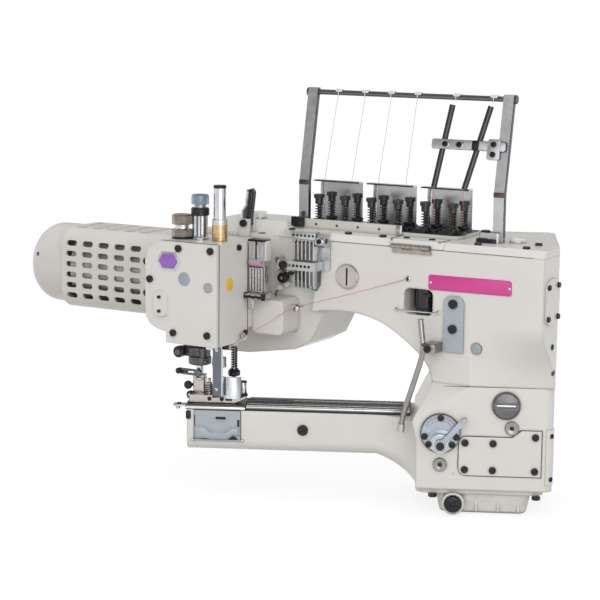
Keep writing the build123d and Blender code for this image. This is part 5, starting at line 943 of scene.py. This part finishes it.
def base_plugs():
    """Sight glass, buttons, plugs and filler caps, which stand for the plain CAD ones."""
    sight = on_bed(27.8, 101.6, BASE_FRONT)
    lathe(sight, [(15.5, 0), (15.5, 2.6), (14.9, 3.3), (14.3, 3.3), (14, 2.6), (0, 2.6)], 48)
    upper = [polar(13.6, math.radians(10 + 8 * n)) for n in range(21)]
    for half in ([(x, -y) for x, y in reversed(upper)], upper):
        prism(sight, half, 3.3, 0.4, 2.4)
    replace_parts(done("sight_cap", gunmetal), "plugs_and_caps")
    slab(sight, 21, 1.8, 0.8, 3, 0.2, 2.5)
    done("sight_slot", white_metal)

    buttons = [on_bed(x, z, BASE_FRONT) for x, z in ((34.5, 76.5), (-42.6, 33.8))]
    for place in buttons:
        lathe(place, [(7.8, 0), (7.8, 1.6), (7, 2.4), (6.4, 2.5), (2.6, 1.3), (2.1, 1.3)], 36)
    done("chrome_caps", satin_chrome)
    cap_place = on_front(109, 229, ARM_FRONT)
    lathe(cap_place, [(14, 0), (14, 1.7), (13.3, 2.4), (12.6, 2.4), (12.3, 2), (0, 2)], 44)
    done("arm_cap", nickel)
    for place in buttons:
        lathe(place, [(2.3, 0), (2.3, 1.9), (1.2, 2.1), (0, 1.5)], 20)
    slab(cap_place, 2.2, 20, 0.8, 2.15, 0.1, 1.8)
    done("cap_centres", black_metal)

    drain = on_bed(-27.4, -10.5, -64)
    lathe(drain, [(9.6, 0), (9.6, 2.6), (8.6, 3.8), (8.2, 4), (3, 4), (2.2, 2.6), (0, 2.6)], 40)
    mark = drain @ Matrix.Rotation(math.radians(-40), 4, "Z")
    prism(mark, rounded(2.2, 7, 0.6, (0, 5.6)), 4.15, 0.2, 3.4)
    done("drain_plug", black_metal)
    lathe(drain, [(12.3, -0.4), (12.1, 0.5), (10.6, 0.8), (9.8, 0.4)], 44)
    done("drain_ring", body_paint)

    for u, z, radius in ((-42.7, 225.9, 7.5), (-11.3, 218.6, 5.8)):
        lathe(on_front(u, z, 0), [(radius, 0), (radius, 0.5), (0.9 * radius, 0.95), (0, 0.95)], 36)
    lathe(on_front(267.5, 163.6, ARM_FRONT), [(6.2, -0.2), (6.2, 0.2), (5.4, 0.7), (0, 0.9)], 36)
    done("grey_plugs", grey_plug)
    motor_filler, column_filler = on_top(-35, 148, 280), on_top(291, 151, COVER_TOP)
    lathe(motor_filler, [(8.4, 0), (8.4, 6.6), (7.6, 7.8), (6.4, 8), (5.8, 7.4), (0, 7.4)], 36)
    lathe(column_filler, [(8.8, 0), (8.8, 4.9), (8, 5.8), (6.6, 6), (6.2, 5.5), (0, 5.5)], 36)
    done("filler_caps", white_plastic)
    lathe(column_filler, [(9, 1), (9.15, 1.3), (9.15, 1.9), (9, 2.2)], 36)
    lathe(motor_filler, [(8.5, 0.4), (8.8, 0.7), (8.8, 1.3), (8.5, 1.6)], 36)
    done("filler_bands", chrome)


def base_details():
    """Feed dial with its scale, joint lines and studs of the base."""
    face, pivot = on_bed(-42.6, 69.2, DIAL_FRONT), on_bed(-42.6, 57.7, DIAL_FRONT)
    spaces, first, sweep = 28, 28, 124
    for n in range(spaces + 1):
        long = 1.2 if n % 7 == 0 else 0
        turn = face @ Matrix.Rotation(math.radians(first + n * sweep / spaces), 4, "Z")
        prism(turn, rounded(2.6 + long, 0.34, 0.12, (18.2 - long / 2, 0), 2), 0.16, 0, -0.1)
    prism(face, arc_band(14.6, 14.25, 32, 148, 24), 0.16, 0, -0.1)
    done("dial_scale", dark_steel)
    lathe(face, [(21.2, -3.6), (22, -3.2), (22, -0.8), (21.4, -0.2), (20.4, 0.12), (20.2, -0.3)], 56)
    done("dial_rim", dark_steel)
    prism(pivot, arc_band(16.6, 11.2, 38, 146, 22), 0.5, 0.15, -0.2)
    done("dial_crescent", blue_steel)
    lathe(pivot, [(10.6, -0.2), (10.4, 0.5), (9.2, 0.7), (8.6, 0.3)], 40)
    done("dial_boss", aluminium)

    cover = [(-22.9, 31), (-22.9, 57.5), (-20.6, 63.4), (-14.6, 66.3), (33.4, 66.3), (44.2, 74.3),
             (67.4, 74.3), (67.4, 22.2), (-14, 22.2), (-20.4, 24.6), (-22.9, 31)]
    seam(on_bed(0, 0, -66.1), cover, 0.5)
    seam(on_bed(0, 0, BASE_FRONT), [(-40, 121.4), (60, 121.4)], 0.35)
    done("base_joints", joint_line)

    prism(on_plate(68, -54, 0), arc_band(12.9, 11.8, -72, -8, 12), 76, 0.6, 13.5)
    done("corner_strip", body_paint)
    out = Vector((*polar(1, math.radians(-40)), 0))
    for z in (68.2, 19.8):
        slotted(seat(Vector((68, -54, z)) + out * 12.8, UP.cross(out), UP), 2.6, 1.4, 90)
    for x in (-50, 63):
        prism(on_plate(x, -60.6, -3.9), circle(4.8, 6), 3.9, 0)
    done("base_studs", black_metal)
    lathe(on_bed(-27.8, 24, BASE_FRONT), [(1.6, 0), (1.2, 0.5), (0, 0.6)], 16)
    done("base_pin", motor_paint)


def bed_details():
    """Rail strips, end guide and looper cover of the cylinder bed."""
    for y, width in ((-17.6, 3.4), (-6.5, 7.4), (6.5, 7.4), (17.6, 3.4)):
        slab(on_plate(-169.2, y, BED_TOP), 183, width, 0.8, 0.45, 0.15)
    done("rail_strips", dark_steel)
    for y in (-21.4, -11.9, 11.9, 21.4):
        slab(on_plate(-169.2, y, BED_TOP), 183.6, 1, 0.4, 0.6, 0.15)
    slab(on_bed(-169.2, 81.4, BED_FRONT), 183.6, 1.6, 0.5, 0.5, 0.1)
    slab(on_bed(-296, 79.4, BED_FRONT), 67.4, 2.6, 0.8, 0.5, 0.1)
    done("rail_edges", white_metal)
    slab(on_bed(-169.2, 78.1, -19.5), 183.4, 2, 0.4, 0.7, 0.1)
    done("rail_shadow_gap", black_metal)
    slab(on_plate(-237.5, 2, 85.6), 47, 3.4, 0.8, 0.7, 0.2)
    for x in (-256, -220):
        slotted(on_plate(x, -1.5, 85.4), 2, 1, 40)
    done("guide_strip_parts", dark_steel)
    slab(on_plate(-336.5, -10, 78.6), 17, 11, 3, 2.2, 0.5)
    lathe(on_plate(-340, -10, 75.2), [(2.6, 0), (2.6, 3.6)], 20)
    done("bed_end_guide", satin_grey)
    slotted(on_plate(-338.5, -10, 80.7), 2.6, 1.3)
    slab(on_bed(-326.4, 71, -21.9), 5.6, 9.6, 1.4, 1.4, 0.3)
    slotted(on_plate(-324, 14, BED_TOP), 2.6, 0.8)
    slotted(on_plate(-324, -15, BED_TOP), 2.6, 0.8)
    done("bed_end_screws", black_metal)
    slab(on_bed(-290.4, 66.6, ROOM_FRONT), 13.4, 4.4, 2.1, 0.7, 0.2)
    bulge = [(-306, 47), (-300.6, 45.2), (-282.8, 45.2), (-276, 49.8), (-269.6, 49.8), (-269.6, 57.4),
             (-276.6, 57.4), (-283.6, 51.4), (-301.4, 51.4), (-308.4, 57.4), (-317.4, 57.4), (-317.4, 47)]
    prism(on_bed(0, 0, -25.9), bulge, 1.5, 0.9)
    done("cover_handle_rim", blue_grey, "looper_cover")
    slab(on_bed(-289.5, 68, -23.2), 11.6, 2.6, 1.2, 0.75, 0.1)
    slab(on_bed(-269.6, 62.4, ROOM_FRONT), 2.6, 8.4, 0.8, 0.5, 0.1)
    for outline in ([(-312.6, 43.6), (-303, 43.6), (-303.4, 46.8), (-306, 45.4)],
                    [(-281.6, 43.6), (-269.6, 43.6), (-272.2, 46.6), (-275.4, 48)]):
        prism(on_bed(0, 0, ROOM_FRONT), outline, 0.5, 0.1)
    slab(on_bed(-318.9, 57, ROOM_FRONT), 0.9, 28, 0.3, 0.3, 0.1)
    done("cover_notches", black_metal, "looper_cover")


def needle_area():
    """Trim of the presser, spreader, guard and needle clamp."""
    prism(PRESSER_AXIS, gear(12.9, 12.3, 56), 132.2, 0.4, 125)
    done("collar_knurl", gunmetal, "presser")
    slab(on_top(-50, 36, 142.8), 31, 16, 4.5, 1.4, 0.5)
    lathe(on_front(-65, 138, 28.6), [(6.2, 0), (6.6, 0.6), (6.6, 7.4), (5.6, 8.4), (0, 8.6)], 28)
    done("guide_block_trim", black_metal, "presser")
    lathe(on_front(-65, 138, 20), [(3.4, 0), (3, 0.7), (1.6, 0.8), (1.4, 0.2), (0, 0.2)], 20)
    done("block_pin", gunmetal, "presser")
    slotted(on_front(-42, 137.6, 27.5), 2.4, 1.2)
    slotted(on_front(-34, 128.4, 28.8), 2, 1)
    done("block_screws", gunmetal, "presser")
    slab(on_front(-24, 146.4, 30), 11.5, 5.4, 1.2, 6, 0.8)
    done("bar_guide_block", aluminium)

    for z, left in ((117.2, -68.6), (112.6, -66)):
        slab(on_front((left - 40) / 2, z, 29.4), -40 - left, 2.4, 1.1, 2.6, 0.5)
    lathe(on_front(-42.4, 115, 29.6), [(4.4, 0), (4.4, 3.4), (3.6, 4), (0, 4)], 24)
    done("presser_arms", gunmetal, "presser", slot="bright_steel")
    lathe(on_front(-68, 115, 30), [(3.4, 0), (3.4, 4.6), (2.6, 5.2), (0, 5.2)], 22)
    slab(on_front(-61, 115, 29.8), 9, 1.6, 0.6, 2, 0.3)
    lathe(on_front(-56.4, 99.5, 31), [(4.4, 0), (4.8, 0.8), (4.8, 3.4), (4, 4.4), (0, 4.4)], 24)
    lathe(on_side(34, 99.5, -53.5), [(1.8, 0), (1.8, 3.4)], 16)
    lathe(on_front(-51, 89.4, 27.5), [(4.6, 0), (4.6, 3.4), (3.8, 3.9), (2.6, 3.4)], 28)
    slotted(on_bed(-303.5, 88.2, -14.3), 2.3, 1.1)
    slotted(on_bed(-289.5, 88, -14.3), 2.3, 1.1)
    slab(on_bed(-281.6, 87.6, -14.2), 8, 2.6, 1.2, 0.5, 0.1)
    done("presser_fittings", black_metal, "presser")
    lathe(POST_AXIS, [(3.6, 92), (3.6, 104), (2.8, 105), (2, 105), (2, 109), (1.2, 109.6)], 24)
    lathe(PRESSER_AXIS, [(7.9, 90.6), (8.3, 91.4), (8.3, 93.2), (7.7, 94)], 32)
    lathe(PRESSER_AXIS, [(7.7, 106.4), (8.3, 107), (8.3, 109), (7.7, 109.8)], 32)
    lathe(on_front(-51, 89.4, 24), [(2.5, 0), (1.9, 0.7), (0, 0.8)], 20)
    done("presser_posts", nickel, "presser")
    helix(POST_AXIS, 4.2, 0.55, 4, 9.5, 16, 93, 6)
    done("presser_post_spring", dark_steel, "presser")
    toe = on_plate(-266.6, -5, 0)
    lathe(toe, [(4.2, 93.6), (4.4, 94.2), (4.4, 105.8), (4, 106.6)], 30)
    done("toe_cylinder", chrome, "presser")
    lathe(toe, [(4.5, 106.2), (4.6, 107.4), (4, 107.8), (0, 107.4)], 30)
    lathe(toe, [(4, 89.6), (5.4, 90.4), (5.4, 92.8), (4.5, 93.8)], 30)
    for start in (-300, -282):
        tube([Vector((start, -15.4, 90.6)), Vector((start + 16, -15.4, 91.4))], 0.9, 8)
    done("toe_rims", black_metal, "presser")

    shaft = on_top(-8, 50, 0)
    helix(shaft, 3.1, 0.9, 9, 25, 16, 120.4, 7)
    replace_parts(done("spreader_spring", brown_steel, "spreader"), "spreader")
    lathe(shaft, [(5.6, 112.6), (7, 113.4), (7, 117.4), (6, 118.4), (5, 118.4), (5, 120), (3, 120.3)], 32)
    slab(on_top(-5, 46, 113), 9, 14, 3, 5, 0.7)
    lathe(on_front(-8, 115.4, 43.6), [(2.6, 0), (2.6, 1.4), (1.8, 2), (0, 2)], 20)
    done("spreader_hub", black_metal, "spreader")
    lathe(shaft, [(1.8, 106), (2.2, 106.6), (2.2, 161.8)], 24)
    slab(on_top(-5, 43.4, 106.4), 3, 14, 1.3, 1.8, 0.4)
    done("spreader_shaft", chrome, "spreader")
    lathe(shaft, [(4.2, 147.2), (4.4, 147.8), (4.4, 152.2)], 26)
    done("spring_cap", white_plastic)
    slab(on_front(-13.6, 148.5, 38), 8, 6.6, 1, 4, 0.6)
    slab(on_front(-5.6, 148.9, 30), 6, 6, 1, 5, 0.6)
    done("head_bottom_blocks", black_metal)
    slab(on_top(-12.5, 22, 0), 12, 2.4, 0.8, 151.9, 0, 92.6)
    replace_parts(done("guard_strip", blue_sheet), "finger_guard")
    guard = on_top(-3, 39.5, 0)
    prism(guard, arc_band(13.2, 12, -130, -12, 26), 114.8, 0.3, 90.2)
    slab(on_top(-11.2, 26.2, 96), 4, 4.2, 1, 12, 0.4)
    done("needle_shield", shield_metal, "presser")
    slab(on_top(-6.3, 22, 0), 0.8, 3.2, 0.3, 151.6, 0, 93)
    slotted(on_front(-12.5, 146, 20.8), 2.4, 1.1)
    slotted(on_front(-12.5, 101, 20.8), 2.2, 1)
    done("guard_trim", chrome)
    slotted(on_front(-21.4, 128, 28.5), 2.1, 1.2, 60)
    slotted(on_front(-15.6, 126.4, 28.5), 1.6, 1, 0)
    done("clamp_screws", black_metal, "needle_drive")


def make_floor():
    """Pale floor: white to the camera and in reflections, grey as a bounce for light."""
    mesh = bmesh.new()
    mesh.faces.new([mesh.verts.new((x, y, FLOOR_Z * MM)) for x, y in circle(FLOOR_RADIUS, 48)])
    data = bpy.data.meshes.new("floor")
    mesh.to_mesh(data)
    mesh.free()
    floor = bpy.data.objects.new("floor", data)
    bpy.context.scene.collection.objects.link(floor)
    material = bpy.data.materials.new("floor_white")
    material.use_nodes = True
    tree = material.node_tree
    tree.nodes.clear()
    rays = tree.nodes.new("ShaderNodeLightPath").outputs
    seen = combine(tree, "MAXIMUM", rays["Is Camera Ray"], rays["Is Glossy Ray"])
    seen = combine(tree, "MAXIMUM", seen, rays["Is Transmission Ray"])
    grey, pale = [tree.nodes.new("ShaderNodeBsdfDiffuse") for n in range(2)]
    grey.inputs["Color"].default_value = FLOOR_GREY
    pale.inputs["Color"].default_value = FLOOR_PALE
    glow = tree.nodes.new("ShaderNodeEmission")
    glow.inputs["Strength"].default_value = FLOOR_GLOW
    shadowed, both = [tree.nodes.new("ShaderNodeMixShader") for n in range(2)]
    shadowed.inputs[0].default_value = GLOW_SHARE
    out = tree.nodes.new("ShaderNodeOutputMaterial")
    for source, target in ((pale.outputs[0], shadowed.inputs[1]), (glow.outputs[0], shadowed.inputs[2]),
                           (seen, both.inputs[0]), (grey.outputs[0], both.inputs[1]),
                           (shadowed.outputs[0], both.inputs[2]), (both.outputs[0], out.inputs["Surface"])):
        tree.links.new(source, target)
    data.materials.append(material)


badge_and_labels()
head_top()
head_side()
neck_details()
take_up_details()
arm_details()
rod_details()
tension_details()
stand_details()
threads()
base_plugs()
base_details()
bed_details()
needle_area()
make_floor()
